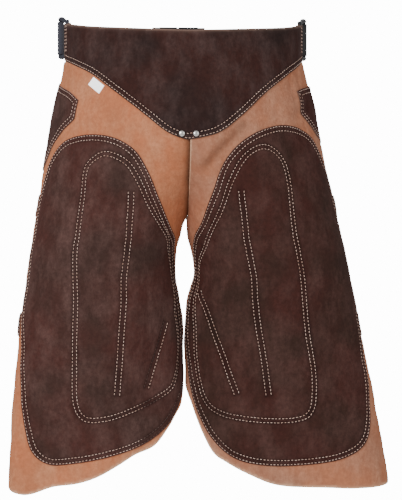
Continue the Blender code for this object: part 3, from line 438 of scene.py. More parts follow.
def yoke_place(u, v, offset):
    """Points of the yoke: on the hips, then round the loops' bars and back inside."""
    u, v, offset = np.broadcast_arrays(np.asarray(u, float), np.asarray(v, float), offset)
    out_points = np.zeros(u.shape + (3,))
    for side in (-1, 1):
        mine = (u < 0) if side < 0 else (u >= 0)
        t, z, off = np.abs(u[mine]) / MM_PER_DEGREE, v[mine], offset[mine]
        past = (t - YOKE_END) * MM_PER_DEGREE
        place = leg_place(side)
        centre, out, back = loop_bar(side)
        lap = past - WRAP_LENGTH
        sunk = 2 * WRAP_RADIUS * (1 - smoothstep((lap - WRAP_RADIUS) / (TAB_LENGTH / 2)))
        on_hips = np.where(past > 0, YOKE_END - np.maximum(lap, 0) / MM_PER_DEGREE, t) * MM_PER_DEGREE
        depth = np.where(past > 0, -sunk - (off - GAP), off)
        points = place(on_hips, z, depth)
        turned = np.where(past > 0, YOKE_END - lap / MM_PER_DEGREE, t)
        upright = smoothstep((turned - UPRIGHT_FROM) / (YOKE_END - UPRIGHT_FROM))
        level = place(np.full_like(z, YOKE_END * MM_PER_DEGREE), np.zeros_like(z), 0.0)
        tilted = place(np.full_like(z, YOKE_END * MM_PER_DEGREE), z, 0.0)
        points[:, :2] += ((level - tilted) * upright[:, None])[:, :2]
        turn = math.pi * np.clip(past / WRAP_LENGTH, 0, 1)[:, None]
        reach = (WRAP_RADIUS + off - GAP)[:, None]
        wrapped = centre + (out * np.cos(turn) + back * np.sin(turn)) * reach
        wrapped[:, 2] = z
        wrapping = (past > 0) & (lap < 0)
        points[wrapping] = wrapped[wrapping]
        out_points[mine] = points
    return out_points


# Flat lines

def knots_of(rows):
    """Rows of turn and height as flat points."""
    return [np.array([row[0] * MM_PER_DEGREE, row[1]], float) for row in rows]


def curve(knots, step):
    """Smooth points from the second knot up to, but not on, the last but one."""
    points = []
    for before, start, end, after in zip(knots, knots[1:], knots[2:], knots[3:]):
        count = max(1, round(np.linalg.norm(end - start) / step))
        for s in np.arange(count) / count:
            points.append(hermite(start, (end - before) / 2, end, (after - start) / 2, s))
    return points


def smooth_run(knots, step):
    """Open smooth line through the knots, without its last point; two knots give a straight one."""
    return curve([2 * knots[0] - knots[1]] + knots + [2 * knots[-1] - knots[-2]], step)


def outline(rows, step=2.65):
    """Closed line through the rows, which turns sharply only at marked corners."""
    knots, total = knots_of(rows), len(rows)
    corners = [i for i, row in enumerate(rows) if len(row) > 2]
    if not corners:
        return np.array(curve([knots[i % total] for i in range(-1, total + 2)], step))
    points = []
    for first, second in zip(corners, corners[1:] + [corners[0] + total]):
        points += smooth_run([knots[i % total] for i in range(first, second + 1)], step)
    return np.array(points)


def open_line(rows, step=2.65):
    """Open smooth line through rows, with both ends."""
    knots = knots_of(rows)
    return np.array(smooth_run(knots, step) + [knots[-1]])


def even(line, closed, step):
    """The same line with points spaced evenly, near to step apart."""
    chain = np.vstack([line, line[:1]]) if closed else line
    lengths = lengths_along(chain)
    count = max(2, round(lengths[-1] / step))
    marks = np.linspace(0, lengths[-1], count + 1)
    return read_at(marks[:-1] if closed else marks, lengths, chain)


def inside(places, loop):
    """Which flat places are inside a closed line."""
    hit = np.zeros(len(places), bool)
    x, y = places[:, 0], places[:, 1]
    for (ax, ay), (bx, by) in zip(loop, np.roll(loop, -1, axis=0)):
        if ay == by:
            continue
        crosses = (ay > y) != (by > y)
        hit ^= crosses & (x < ax + (y - ay) * (bx - ax) / (by - ay))
    return hit


def distance(places, line, closed):
    """Distance from flat places to a line."""
    tree = KDTree(len(line))
    for i, (u, v) in enumerate(line):
        tree.insert((u, v, 0.0), i)
    tree.balance()
    near = np.array([tree.find((u, v, 0.0))[1] for u, v in places])
    best = np.full(len(places), np.inf)
    last = len(line) - 1
    for shift in (-1, 0):
        a, b = near + shift, near + shift + 1
        if closed:
            a, b = a % len(line), b % len(line)
        else:
            a, b = np.clip(a, 0, last), np.clip(b, 0, last)
        start, run = line[a], line[b] - line[a]
        long = np.maximum((run ** 2).sum(1), 1e-9)
        along = np.clip(((places - start) * run).sum(1) / long, 0, 1)
        best = np.minimum(best, np.linalg.norm(places - start - run * along[:, None], axis=1))
    return best


def area_of(loop):
    """Signed area inside a closed line."""
    following = np.roll(loop, -1, axis=0)
    return float((loop[:, 0] * following[:, 1] - loop[:, 1] * following[:, 0]).sum() / 2)


def neighbours(line, closed):
    """The points before and after each point of a line."""
    if closed:
        return np.roll(line, 1, axis=0), np.roll(line, -1, axis=0)
    return np.vstack([line[:1], line[:-1]]), np.vstack([line[1:], line[-1:]])


def inset(place, line, amount, closed, inward=1.0):
    """Line moved sideways by a true distance over the cloth; for a closed line, towards its inside."""
    line = even(line, closed, FINE_STEP)
    before, after = neighbours(line, closed)
    if closed:
        inward = math.copysign(1.0, area_of(line))
    way = unit(after - before)
    u, v = line[:, 0], line[:, 1]
    along_u = place(u + 0.5, v, 0.0) - place(u - 0.5, v, 0.0)
    along_v = place(u, v + 0.5, 0.0) - place(u, v - 0.5, 0.0)
    uu, vv, uv = ((a * b).sum(1) for a, b in ((along_u, along_u), (along_v, along_v), (along_u, along_v)))
    turned = np.stack([-uv * way[:, 0] - vv * way[:, 1], uu * way[:, 0] + uv * way[:, 1]], -1)
    true = np.sqrt(uu * turned[:, 0] ** 2 + vv * turned[:, 1] ** 2 + 2 * uv * turned[:, 0] * turned[:, 1])
    step = turned / true[:, None] * amount * inward
    moved = line + step
    reach = np.abs(step[:, 0] * way[:, 1] - step[:, 1] * way[:, 0])
    kept = even(moved[distance(moved, line, closed) > reach - CROWDED], closed, FINE_STEP)
    for _ in range(SOFTENING):
        before, after = neighbours(kept, closed)
        softer = (before + 2 * kept + after) / 4
        if not closed:
            softer[[0, -1]] = kept[[0, -1]]
        kept = softer
    return even(kept, closed, PITCH / 2)


# Cloth meshes

def cut_cloth(loop, lines, spacing):
    """Fine flat triangles inside a closed line, with points along the extra lines."""
    low, high = loop.min(axis=0), loop.max(axis=0)
    rows = np.arange(low[1], high[1], spacing * ROW_SHARE)
    grid = np.array([(u + (j % 2) * spacing / 2, v) for j, v in enumerate(rows)
                     for u in np.arange(low[0], high[0], spacing)])
    grid = grid[inside(grid, loop)]
    clear = distance(grid, loop, True) > spacing * EDGE_CLEAR
    for line, closed in lines:
        clear &= distance(grid, line, closed) > spacing * LINE_CLEAR
    points, pairs = [grid[clear]], []
    total = int(clear.sum())
    for line, closed in [(loop, True), *lines]:
        count = len(line)
        pairs += [(total + i, total + i + 1) for i in range(count - 1)]
        if closed:
            pairs.append((total + count - 1, total))
        points.append(line)
        total += count
    flat, _, faces, *_ = delaunay_2d_cdt([Vector(p) for p in np.vstack(points)], pairs, [], 0, MERGE)
    flat, faces = np.array([tuple(p) for p in flat]), np.array(faces)
    middles = flat[faces].mean(axis=1)
    a, b, c = (flat[faces[:, i]] for i in range(3))
    doubled = (b - a)[:, 0] * (c - a)[:, 1] - (b - a)[:, 1] * (c - a)[:, 0]
    faces = faces[inside(middles, loop) & (np.abs(doubled) > LEAST_FACE)]
    used, faces = np.unique(faces, return_inverse=True)
    return flat[used], faces.reshape(-1, 3)


def rim_of(faces):
    """Directed edges that only one triangle has."""
    edges = np.vstack([faces[:, [0, 1]], faces[:, [1, 2]], faces[:, [2, 0]]])
    known = {(a, b) for a, b in edges.tolist()}
    return np.array([(a, b) for a, b in edges.tolist() if (b, a) not in known])


def new_object(name, points, faces, materials, indices=None, uv=None, sharp=40):
    """Object from points in mm and faces."""
    mesh = bpy.data.meshes.new(name)
    mesh.from_pydata((np.asarray(points) * MM).tolist(), [], np.asarray(faces).tolist())
    if indices is not None:
        mesh.polygons.foreach_set("material_index", np.asarray(indices, np.int32))
    if uv is not None:
        corners = np.empty(len(mesh.loops), np.int32)
        mesh.loops.foreach_get("vertex_index", corners)
        mesh.uv_layers.new(name="flat").data.foreach_set("uv", np.asarray(uv, np.float32)[corners].ravel())
    mesh.shade_smooth()
    mesh.set_sharp_from_angle(angle=math.radians(sharp))
    thing = bpy.data.objects.new(name, mesh)
    bpy.context.scene.collection.objects.link(thing)
    for material in materials:
        mesh.materials.append(material)
    return thing


def outward(points, faces):
    """Triangles turned so that the closed body they make has its faces out."""
    a, b, c = (points[faces[:, i]] for i in range(3))
    return faces if np.einsum("ij,ij->i", a, np.cross(b, c)).sum() > 0 else faces[:, ::-1]


def between_rings(rings):
    """Triangles between rows of point numbers that each go once round."""
    a, d = rings[:-1], rings[1:]
    b, c = np.roll(a, -1, axis=1), np.roll(d, -1, axis=1)
    return np.vstack([np.stack([corner.ravel() for corner in trio], -1) for trio in ((a, b, c), (a, c, d))])


def fan(tip, ring, turned=False):
    """Triangles from one point to a ring of point numbers."""
    faces = np.stack([np.full_like(ring, tip), ring, np.roll(ring, -1)], -1)
    return faces[:, ::-1] if turned else faces


def capped(rings, first, last):
    """Triangles of a closed body from its rings and the points at its two ends."""
    return np.vstack([fan(first, rings[0], True), between_rings(rings), fan(last, rings[-1])])


def add_attribute(thing, name, values):
    """Named value at each point."""
    thing.data.attributes.new(name, "FLOAT", "POINT").data.foreach_set("value", values.astype(np.float32))


def cloth_piece(name, node, place, loop, layer, cloth, rows=(), held="laid", rests_on=(), spacing=3.2,
                lines=(), rise=None, wear=None, shade=None, shift=None):
    """Closed shell of one piece of cloth, with its rows of sewing pulled in.

    node is what it replaces in the frame, cloth its kind and side, and lines are further lines that the
    mesh follows. At each flat place rise is how far the outer face stands out, wear how rubbed it is,
    shade how much painted shade darkens it, and shift how far both faces are moved.
    """
    flat, faces = cut_cloth(loop, [*rows, *lines], spacing)
    to_edge = distance(flat, loop, True)
    lift = rise(flat) if rise else 0.0
    moved = shift(flat) if shift else 0.0
    press = np.zeros(len(flat))
    for line, closed in rows:
        press = np.maximum(press, bell(distance(flat, line, closed), GROOVE_WIDTH))
    edge_drop = EDGE_DROP * (1 - smoothstep(to_edge / EDGE_ROUND)) ** 2
    inner = place(*flat.T, layer[0]) + moved
    outer = place(*flat.T, layer[1] + lift - GROOVE_DEPTH * press - edge_drop) + moved
    count, (a, b) = len(flat), rim_of(faces).T
    shell = np.vstack([faces + count, faces[:, ::-1], np.stack([a, b, b + count], -1),
                       np.stack([a, b + count, a + count], -1)])
    points = np.vstack([inner, outer])
    indices = np.repeat([0, 2, 1], [len(faces), len(faces), 2 * len(a)])
    kind, _ = cloth
    face = MATERIALS[cloth]
    thing = new_object(name, points, outward(points, shell), [face, MATERIALS.get(f"{kind}_edge", face), face],
                       indices, uv=np.vstack([flat, flat]) * MM)
    worn = np.exp(-to_edge / EDGE_WEAR)
    add_attribute(thing, "press", np.concatenate([press * INNER_PRESS, press]))
    add_attribute(thing, "edge", np.tile(wear(flat, worn) if wear else worn, 2))
    add_attribute(thing, "shade", np.tile(shade(flat) if shade else np.zeros(count), 2))
    finish_piece(thing, CLOTH_SLOTS[kind], node)
    a, b, c = (outer[faces[:, i]] for i in range(3))
    width, length = flat_size(place, loop)
    return thing


def flat_size(place, loop):
    """Width and length in metres of the cloth that was cut for an outline, along its surface."""
    sizes = []
    for axis in (0, 1):
        best = 0.0
        other = 1 - axis
        for level in np.linspace(loop[:, other].min(), loop[:, other].max(), FLAT_LINES)[1:-1]:
            reach = np.linspace(loop[:, axis].min(), loop[:, axis].max(), FLAT_POINTS)
            places = np.stack([reach, np.full_like(reach, level)], -1)
            if axis:
                places = places[:, ::-1]
            steps = np.linalg.norm(np.diff(place(*places.T, 0.0), axis=0), axis=1)
            best = max(best, float((steps * inside(places, loop)[1:]).sum()))
        sizes.append(best * MM)
    return sizes


def stitch_shape():
    """One stitch lying along x, with the hole that follows it, and which faces are the hole's."""
    turns = 2 * math.pi * np.arange(STITCH_SIDES) / STITCH_SIDES
    half, middle = STITCH_LENGTH / 2, PITCH / 2
    points = [[(-half, 0.0, -STITCH_DIP)]]
    for share, size in STITCH_STATIONS:
        up = STITCH_LIFT - (STITCH_DIP + STITCH_LIFT) * abs(share) ** 4
        radius = STITCH_RADIUS * size
        points.append([(share * half, radius * math.cos(a), up + radius * math.sin(a)) for a in turns])
    points.append([(half, 0.0, -STITCH_DIP)])
    points.append([(middle + HOLE_RADIUS * math.cos(a), HOLE_RADIUS * math.sin(a), HOLE_RIM) for a in turns])
    points.append([(middle, 0.0, 0.0), (middle, 0.0, -HOLE_DEPTH)])
    rings = 1 + np.arange(len(STITCH_STATIONS) * STITCH_SIDES).reshape(-1, STITCH_SIDES)
    end = 1 + rings.size
    hole = end + 1 + np.arange(STITCH_SIDES)
    stitch = capped(rings, 0, end)
    faces = np.vstack([stitch, fan(hole[-1] + 1, hole), fan(hole[-1] + 2, hole, True)])
    return np.vstack(points), faces, np.arange(len(faces)) >= len(stitch)


def sew(name, place, rows, layer, seed, rise=None, below=False, soil_and_shade=None, clear=()):
    """All the stitches of some rows as one mesh, evenly spaced along the cloth itself.

    below puts them on the inner face, soil gives how much painted shade darkens the thread at a
    place, and clear has the points that the stitches keep a rivet's width away from.
    """
    shape, shape_faces, is_hole = stitch_shape()
    rng = np.random.default_rng(seed)
    found = []
    for line, closed in rows:
        fine = even(line, closed, FINE_STEP)
        if closed:
            fine = np.vstack([fine, fine[:1]])
        ground = np.full(len(fine), layer[0] if below else layer[1] - GROOVE_DEPTH)
        if rise:
            ground += rise(fine)
        points = place(*fine.T, ground)
        out = unit(place(*fine.T, ground + 1.0) - points)
        lengths = lengths_along(points)
        count = max(1, round(lengths[-1] / PITCH))
        marks = (np.arange(count) + 0.5) * lengths[-1] / count
        # Painted shade of the thread at each place
        thread_shade = soil_and_shade(fine) if soil_and_shade else np.zeros(len(fine))
        values = np.column_stack([points, np.gradient(points, axis=0), out, thread_shade])
        found.append(read_at(marks, lengths, values))
    found = np.vstack(found)
    kept = np.ones(len(found), bool)
    for point in clear:
        kept &= np.linalg.norm(found[:, :3] - point, axis=1) > RIVET_RADIUS + STITCH_LENGTH / 3
    found = found[kept]
    total = len(found)
    centres, ways, ups = found[:, :3], unit(found[:, 3:6]), unit(found[:, 6:9]) * (-1.0 if below else 1.0)
    ways = unit(ways + unit(np.cross(ups, ways)) * rng.normal(0, STITCH_TURN, total)[:, None])
    sideways = unit(np.cross(ups, ways))
    centres = centres + ways * rng.normal(0, STITCH_ALONG, total)[:, None]
    centres = centres + sideways * rng.normal(0, STITCH_ACROSS, total)[:, None]
    long = rng.normal(1.0, STITCH_STRETCH, total)[:, None]
    points = (centres[:, None] + ways[:, None] * (shape[:, 0] * long)[..., None]
              + sideways[:, None] * shape[None, :, 1, None] + ups[:, None] * shape[None, :, 2, None])
    faces = shape_faces[None] + (np.arange(total) * len(shape))[:, None, None]
    points, faces = points.reshape(-1, 3), faces.reshape(-1, 3)
    thing = new_object(name, points, outward(points, faces), [MATERIALS["thread"], MATERIALS["hole"]],
                       np.tile(is_hole, total), sharp=180)
    add_attribute(thing, "soil_and_shade", np.repeat(found[:, 9], len(shape)))
    finish_piece(thing)


# Materials

def add(tree, kind, inputs=None, **settings):
    """Node with its settings; an input that is a socket is linked, any other is a value."""
    node = tree.nodes.new(kind)
    for key, value in settings.items():
        setattr(node, key, value)
    for key, value in (inputs or {}).items():
        if isinstance(value, bpy.types.NodeSocket):
            tree.links.new(value, node.inputs[key])
        else:
            node.inputs[key].default_value = value
    return node


def start_material(name, **sockets):
    """Material with its shader's fixed values set."""
    material = bpy.data.materials.new(name)
    material.use_nodes = True
    shader = material.node_tree.nodes["Principled BSDF"]
    for key, value in sockets.items():
        shader.inputs[key.replace("_", " ")].default_value = value
    return material, material.node_tree, shader


def scaled(tree, value, low, high, since=0.0, until=1.0, **settings):
    """Value between since and until spread between two others."""
    return add(tree, "ShaderNodeMapRange", {"Value": value, "From Min": since, "From Max": until,
                                            "To Min": low, "To Max": high}, **settings).outputs["Result"]


def noise(tree, where, scale, detail=3.0, roughness=0.55, low=0.3, high=0.7):
    """Noise spread to 0..1."""
    cloud = add(tree, "ShaderNodeTexNoise", {"Vector": where, "Scale": scale, "Detail": detail,
                                             "Roughness": roughness})
    return scaled(tree, cloud.outputs["Fac"], 0.0, 1.0, low, high)


def mix(tree, factor, first, second):
    """Colour between two others."""
    node = add(tree, "ShaderNodeMix", data_type="RGBA")
    for key, value in (("Factor", factor), ("A", first), ("B", second)):
        socket = next(s for s in node.inputs if s.name == key and s.enabled)
        if isinstance(value, bpy.types.NodeSocket):
            tree.links.new(value, socket)
        else:
            socket.default_value = value if key == "Factor" else (*value, 1.0)
    return next(s for s in node.outputs if s.enabled)


def maths(tree, operation, first, second=0.0):
    """One sum on values or sockets."""
    node = add(tree, "ShaderNodeMath", operation=operation)
    for socket, value in zip(node.inputs, (first, second)):
        if isinstance(value, bpy.types.NodeSocket):
            tree.links.new(value, socket)
        else:
            socket.default_value = value
    return node.outputs["Value"]


def wave(tree, value, length):
    """Sine wave of a length in metres."""
    return maths(tree, "SINE", maths(tree, "MULTIPLY", value, 2 * math.pi / length))


def object_space(tree, stretch=(1, 1, 1)):
    """Object coordinates, stretched."""
    coordinates = add(tree, "ShaderNodeTexCoord")
    mapping = add(tree, "ShaderNodeMapping", {"Vector": coordinates.outputs["Object"], "Scale": stretch})
    return mapping.outputs["Vector"]


def flat_axes(tree):
    """Flat places of the cloth, along and across, in metres."""
    flat = add(tree, "ShaderNodeUVMap", uv_map="flat").outputs["UV"]
    flat = add(tree, "ShaderNodeSeparateXYZ", {"Vector": flat})
    return flat.outputs["X"], flat.outputs["Y"]


def finish_material(tree, shader, colour, roughness, height, strength, depth, coarse=None):
    """Link the colour, the roughness and the relief, with a coarser relief over it if there is one."""
    tree.links.new(colour, shader.inputs["Base Color"])
    tree.links.new(roughness, shader.inputs["Roughness"])
    bump = add(tree, "ShaderNodeBump", {"Height": height, "Strength": strength, "Distance": depth})
    if coarse:
        bump = add(tree, "ShaderNodeBump", {**coarse, "Normal": bump.outputs["Normal"]})
    tree.links.new(bump.outputs["Normal"], shader.inputs["Normal"])


def suede(name, warm, cool, pale, deep, rim, wear):
    """Napped split leather: blotches, brushed patches, rubbed grain, pressed seams, rubbed edges and painted
    shade.
    """
    material, tree, shader = start_material(name, Sheen_Weight=0.2, Sheen_Roughness=0.5, Specular_IOR_Level=0.1)
    shader.inputs["Sheen Tint"].default_value = (*pale, 1.0)
    even_space, brushed = object_space(tree), object_space(tree, (1.0, 1.0, 0.55))
    broad = noise(tree, even_space, 10.0, 3.0, 0.55, 0.4, 0.6)
    blotch = noise(tree, brushed, 30.0, 6.0, 0.68, 0.42, 0.66)
    fleck = noise(tree, even_space, 170.0, 4.0, 0.65, 0.3, 0.7)
    grain = noise(tree, even_space, 900.0, 2.0, 0.6, 0.25, 0.75)
    colour = mix(tree, broad, warm, cool)
    colour = mix(tree, scaled(tree, blotch, 0.0, 0.6), colour, pale)
    colour = mix(tree, scaled(tree, fleck, 0.45, 0.0), colour, deep)
    colour = mix(tree, scaled(tree, grain, 0.25, 0.0), colour, deep)
    # Painted shade: the shade attribute darkens the colour towards a near black form of the deep colour.
    dark = tuple(0.2 * share for share in deep)
    for attribute, most, toward in (("edge", wear, rim), ("press", 0.6, deep), ("shade", 0.95, dark)):
        share = add(tree, "ShaderNodeAttribute", attribute_name=attribute).outputs["Fac"]
        colour = mix(tree, scaled(tree, share, 0.0, most), colour, toward)
    fibre = noise(tree, brushed, 1500.0, 3.0, 0.65, 0.2, 0.8)
    finish_material(tree, shader, colour, scaled(tree, fleck, 0.86, 0.98), fibre, 0.35, 0.0005,
                    {"Height": blotch, "Strength": 0.45, "Distance": 0.002})
    return material


def cut_edge(name, core, pale):
    """Raw edge of a piece of leather, with loose fibres."""
    material, tree, shader = start_material(name, Sheen_Weight=0.2, Specular_IOR_Level=0.15)
    fibre = noise(tree, object_space(tree), 700.0, 4.0, 0.7)
    finish_material(tree, shader, mix(tree, fibre, core, pale), scaled(tree, fibre, 0.85, 1.0),
                    fibre, 0.5, 0.0004)
    return material


def thread(name, light, dull, shade_colour):
    """Twisted sewing thread, unevenly soiled, and darkened further by painted shade given at each point."""
    material, tree, shader = start_material(name, Sheen_Weight=0.15, Specular_IOR_Level=0.3)
    where = object_space(tree)
    soil_and_shade, ply = noise(tree, where, 70.0, 4.0, 0.6), noise(tree, where, 2600.0, 1.0)
    # Painted shade: the per-point value from the sewing darkens the thread towards near black
    thread_shade = add(tree, "ShaderNodeAttribute", attribute_name="soil_and_shade").outputs["Fac"]
    colour = mix(tree, thread_shade, mix(tree, soil_and_shade, light, dull), shade_colour)
    finish_material(tree, shader, colour, scaled(tree, soil_and_shade, 0.5, 0.7), ply, 0.4, 0.0002)
    return material


def webbing(name, yarn, shade, glint):
    """Herringbone webbing, drawn along the band's own length and width."""
    material, tree, shader = start_material(name, Sheen_Weight=0.25, Specular_IOR_Level=0.35)
    along, sideways = flat_axes(tree)
    slanted = maths(tree, "ADD", along, maths(tree, "PINGPONG", sideways, 0.0036))
    yarns, picks = wave(tree, slanted, 0.0021), wave(tree, sideways, 0.0012)
    relief = maths(tree, "ADD", maths(tree, "MULTIPLY", yarns, 0.5), maths(tree, "MULTIPLY", picks, 0.25))
    height = scaled(tree, relief, 0.0, 1.0, -0.75, 0.75)
    fuzz = noise(tree, object_space(tree), 420.0, 3.0, 0.6)
    colour = mix(tree, scaled(tree, fuzz, 0.0, 0.35), mix(tree, height, shade, yarn), glint)
    finish_material(tree, shader, colour, scaled(tree, fuzz, 0.6, 0.85), height, 0.7, 0.0005)
    return material


def plastic(name, colour, pale, rough):
    """Moulded plastic with a faint spark-eroded texture and scuffs."""
    material, tree, shader = start_material(name, Specular_IOR_Level=0.25)
    where = object_space(tree)
    scuff, pores = noise(tree, where, 85.0, 5.0, 0.7, 0.5, 0.8), noise(tree, where, 2200.0, 2.0)
    finish_material(tree, shader, mix(tree, scaled(tree, scuff, 0.0, 0.5), colour, pale),
                    scaled(tree, scuff, rough, rough + 0.25), pores, 0.2, 0.0002)
    return material


def metal(name, colour, dull):
    """Nickel plate with fine handling marks."""
    material, tree, shader = start_material(name, Metallic=1.0)
    marks = noise(tree, object_space(tree), 420.0, 4.0, 0.6)
    finish_material(tree, shader, mix(tree, marks, colour, dull), scaled(tree, marks, 0.18, 0.4),
                    marks, 0.08, 0.0002)
    return material


def tape(name, white, shade):
    """Fine woven label tape, made to glow white with emission as painted light."""
    # Painted light: the tape glows with emission, though it is no lamp
    material, tree, shader = start_material(name, Sheen_Weight=0.2, Specular_IOR_Level=0.3,
                                            Emission_Strength=1.3)
    shader.inputs["Emission Color"].default_value = (*white, 1.0)
    warp, weft = (wave(tree, axis, 0.0009) for axis in flat_axes(tree))
    height = scaled(tree, maths(tree, "MULTIPLY", warp, weft), 0.0, 1.0, -1.0, 1.0)
    soil_and_shade = noise(tree, object_space(tree), 120.0, 4.0, 0.6, 0.4, 0.8)
    finish_material(tree, shader, mix(tree, scaled(tree, soil_and_shade, 0.0, 0.5), white, shade),
                    scaled(tree, soil_and_shade, 0.7, 0.9), height, 0.4, 0.0003)
    return material


MATERIALS = {
    # Left and right copies: the right leg's dark and tan suede are darker, partly their own tone and partly
    # painted shade, as the light falls from the left
    ("dark", -1): suede("left_dark_suede", (0.084, 0.032, 0.026), (0.062, 0.034, 0.028),
                        (0.165, 0.090, 0.078), (0.018, 0.006, 0.005), (0.150, 0.050, 0.038), 0.5),
    ("dark", 1): suede("right_dark_suede", (0.068, 0.024, 0.019), (0.050, 0.026, 0.020),
                       (0.130, 0.064, 0.054), (0.014, 0.005, 0.004), (0.115, 0.040, 0.030), 0.5),
    ("dark", 0): suede("yoke_dark_suede", (0.056, 0.022, 0.018), (0.034, 0.020, 0.018),
                       (0.110, 0.068, 0.062), (0.010, 0.004, 0.004), (0.32, 0.21, 0.165), 0.7),
    ("tan", -1): suede("left_tan_suede", (0.63, 0.215, 0.098), (0.54, 0.205, 0.100),
                       (0.74, 0.34, 0.185), (0.28, 0.085, 0.040), (0.84, 0.52, 0.33), 0.85),
    ("tan", 1): suede("right_tan_suede", (0.53, 0.205, 0.108), (0.41, 0.185, 0.115),
                      (0.66, 0.34, 0.215), (0.22, 0.080, 0.045), (0.84, 0.52, 0.33), 0.85),
    "dark_edge": cut_edge("dark_cut_edge", (0.085, 0.04, 0.03), (0.20, 0.12, 0.09)),
    "tan_edge": cut_edge("tan_cut_edge", (0.60, 0.34, 0.20), (0.84, 0.58, 0.40)),
    # The third thread colour is the near black of the thread's painted shade
    "thread": thread("cream_thread", (0.96, 0.70, 0.58), (0.58, 0.33, 0.24), (0.05, 0.018, 0.013)),
    # Painted shade: the needle holes are near black, standing in for the shade inside them
    "hole": cut_edge("needle_hole_painted_shade", (0.006, 0.003, 0.002), (0.02, 0.009, 0.006)),
    "navy": webbing("navy_webbing_weave", (0.045, 0.047, 0.065), (0.012, 0.012, 0.02), (0.10, 0.10, 0.13)),
    "black": webbing("black_webbing_weave", (0.028, 0.028, 0.03), (0.006, 0.006, 0.007), (0.07, 0.07, 0.075)),
    "navy_plastic": plastic("navy_moulded_plastic", (0.026, 0.027, 0.040), (0.08, 0.08, 0.10), 0.5),
    "black_plastic": plastic("black_moulded_plastic", (0.012, 0.012, 0.014), (0.06, 0.06, 0.065), 0.35),
    "nickel": metal("nickel_plate", (0.86, 0.84, 0.80), (0.66, 0.63, 0.58)),
    ("tape", -1): tape("white_label_tape", (1.0, 1.0, 1.0), (0.92, 0.91, 0.89)),
}


# Pieces

def finish_piece(thing, slot=None, *nodes):
    """Ride on the body and take the place of the frame's nodes."""
    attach(thing, "root")
    if nodes:
        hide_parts(*nodes)


def twin_rows(place, line, closed, first=ROW_INSET, apart=TWIN, inward=1.0):
    """Two rows of sewing along a line, at a first distance from it and a little further in."""
    return [(inset(place, line, first + extra, closed, inward), closed) for extra in (0.0, apart)]


def dark_line(flat, line, closed, width, most):
    """Darkness along a line."""
    return most * bell(distance(flat, line, closed), width)


def make_leg(side):
    """Tan leg with its front patch, pocket and strap bases, and all their sewing."""
    word, place, dark = SIDE_WORDS[side], leg_place(side), ("dark", side)
    panel_rows, patch_rows, pad_rows, channel_rows, pocket_rows = LEG_OUTLINES[side]
    crease = open_line(HIP_CREASE)

    def slit(flat, reach):
        """1 on the edge of the slit between the legs, fading away from it and below it."""
        return bell(np.maximum(flat[:, 0], 0.0), reach) * smoothstep((flat[:, 1] - SLIT_END) / SLIT_FADE)

    def gloom(flat):
        """Painted shade at the crotch and on the inner face, with a painted shadow line along the slit or along
        the hip's crease.
        """
        t, z = flat[:, 0] / MM_PER_DEGREE, flat[:, 1]
        level, tall, turn, wide, most = CROTCH_GLOOM
        crotch = bell(z - level, tall) * bell(t - turn, wide) * most
        start, span, behind = INNER_FACE_GLOOM
        line = slit(flat, SLIT_LINE) if side < 0 else dark_line(flat, crease, False, *CREASE_GLOOM)
        return np.clip(np.maximum(crotch, smoothstep((start - t) / span) * behind) + line, 0.0, 1.0)

    def lap(flat):
        """Shift that lays the right edge of the slit over the left one."""
        shift = np.array(SLIT_SHIFTS[side]) * np.ones((len(flat), 1))
        if side < 0:
            shift[:, 0] += SLIT_CLOSING * smoothstep((SLIT_LOW - flat[:, 1]) / SLIT_LOW_FADE)
        return slit(flat, SLIT_REACH)[:, None] * shift

    leg = cloth_piece(f"{word}_tan_leg", f"{word}_panel", place, outline(panel_rows), PANEL_LAYER,
                      ("tan", side), held="hung", spacing=4.2, shade=gloom, shift=lap)

    loop, pad = outline(patch_rows), outline(pad_rows)
    channels = [open_line(row) for row in channel_rows]
    rows = twin_rows(place, loop, True) + twin_rows(place, pad, True, 0.0)
    for channel in channels:
        rows += twin_rows(place, channel, False, -CHANNEL_TWIN / 2, CHANNEL_TWIN)

    def rise(flat):
        """Padding with its channels pressed in."""
        swell = smoothstep(distance(flat, pad, True) / PAD_SLOPE) * inside(flat, pad)
        away = np.min([distance(flat, channel, False) for channel in channels], axis=0)
        return swell * (PAD_RISE - CHANNEL_DEPTH * (1 - smoothstep(away / CHANNEL_SLOPE)))

    def quilting_shade(flat):
        """Painted shade on the inner side, in the channels and along the outline of the padding."""
        start, span, most = PATCH_GLOOM
        inner = smoothstep((start - flat[:, 0] / MM_PER_DEGREE) / span) * most
        grooves = np.max([dark_line(flat, channel, False, *CHANNEL_GLOOM) for channel in channels], axis=0)
        return np.clip(grooves + dark_line(flat, pad, True, *PAD_GLOOM) + inner, 0, 1)

    def soil_and_shade(flat):
        """Painted shade on the thread low on the inner side and, on the left leg, by its short channel."""
        t, z = flat[:, 0] / MM_PER_DEGREE, flat[:, 1]
        shade_share = np.max([smoothstep((level - z) / fall) * smoothstep((turn - t) / fade)
                       for level, fall, turn, fade in THREAD_SHADE_PLACES], axis=0)
        if side < 0:
            short = channels[1]
            beside = flat[:, 0] > np.interp(-z, -short[:, 1], short[:, 0])
            shade_share = np.maximum(shade_share, beside & (distance(flat, short, False) < CHANNEL_TWIN))
        return shade_share * THREAD_SHADE_LEVEL[side]

    cloth_piece(f"{word}_front_patch", f"{word}_leg_patch", place, loop, PATCH_LAYER, dark, rows,
                rests_on=[leg], rise=rise, shade=quilting_shade)
    sew(f"{word}_patch_stitching", place, rows, PATCH_LAYER, 11 + side, rise, soil_and_shade=soil_and_shade)
    sew(f"{word}_patch_stitching_inside", place, rows, PANEL_LAYER, 21 + side, below=True)

    make_pocket(side, place, pocket_rows, leg)
    for level, base_rows in BASES.items():
        loop, base = outline(base_rows), f"{word}_{level}_base"
        rows = [(inset(place, loop, ROW_INSET, True), True)]
        cloth_piece(f"{base}_suede", f"{word}_{level}_strap_base", place, loop, PATCH_LAYER, dark, rows,
                    rests_on=[leg])
        sew(f"{base}_stitching", place, rows, PATCH_LAYER, 41 + side)
        sew(f"{base}_stitching_inside", place, rows, STRAP_LAYER, 51 + side, below=True)


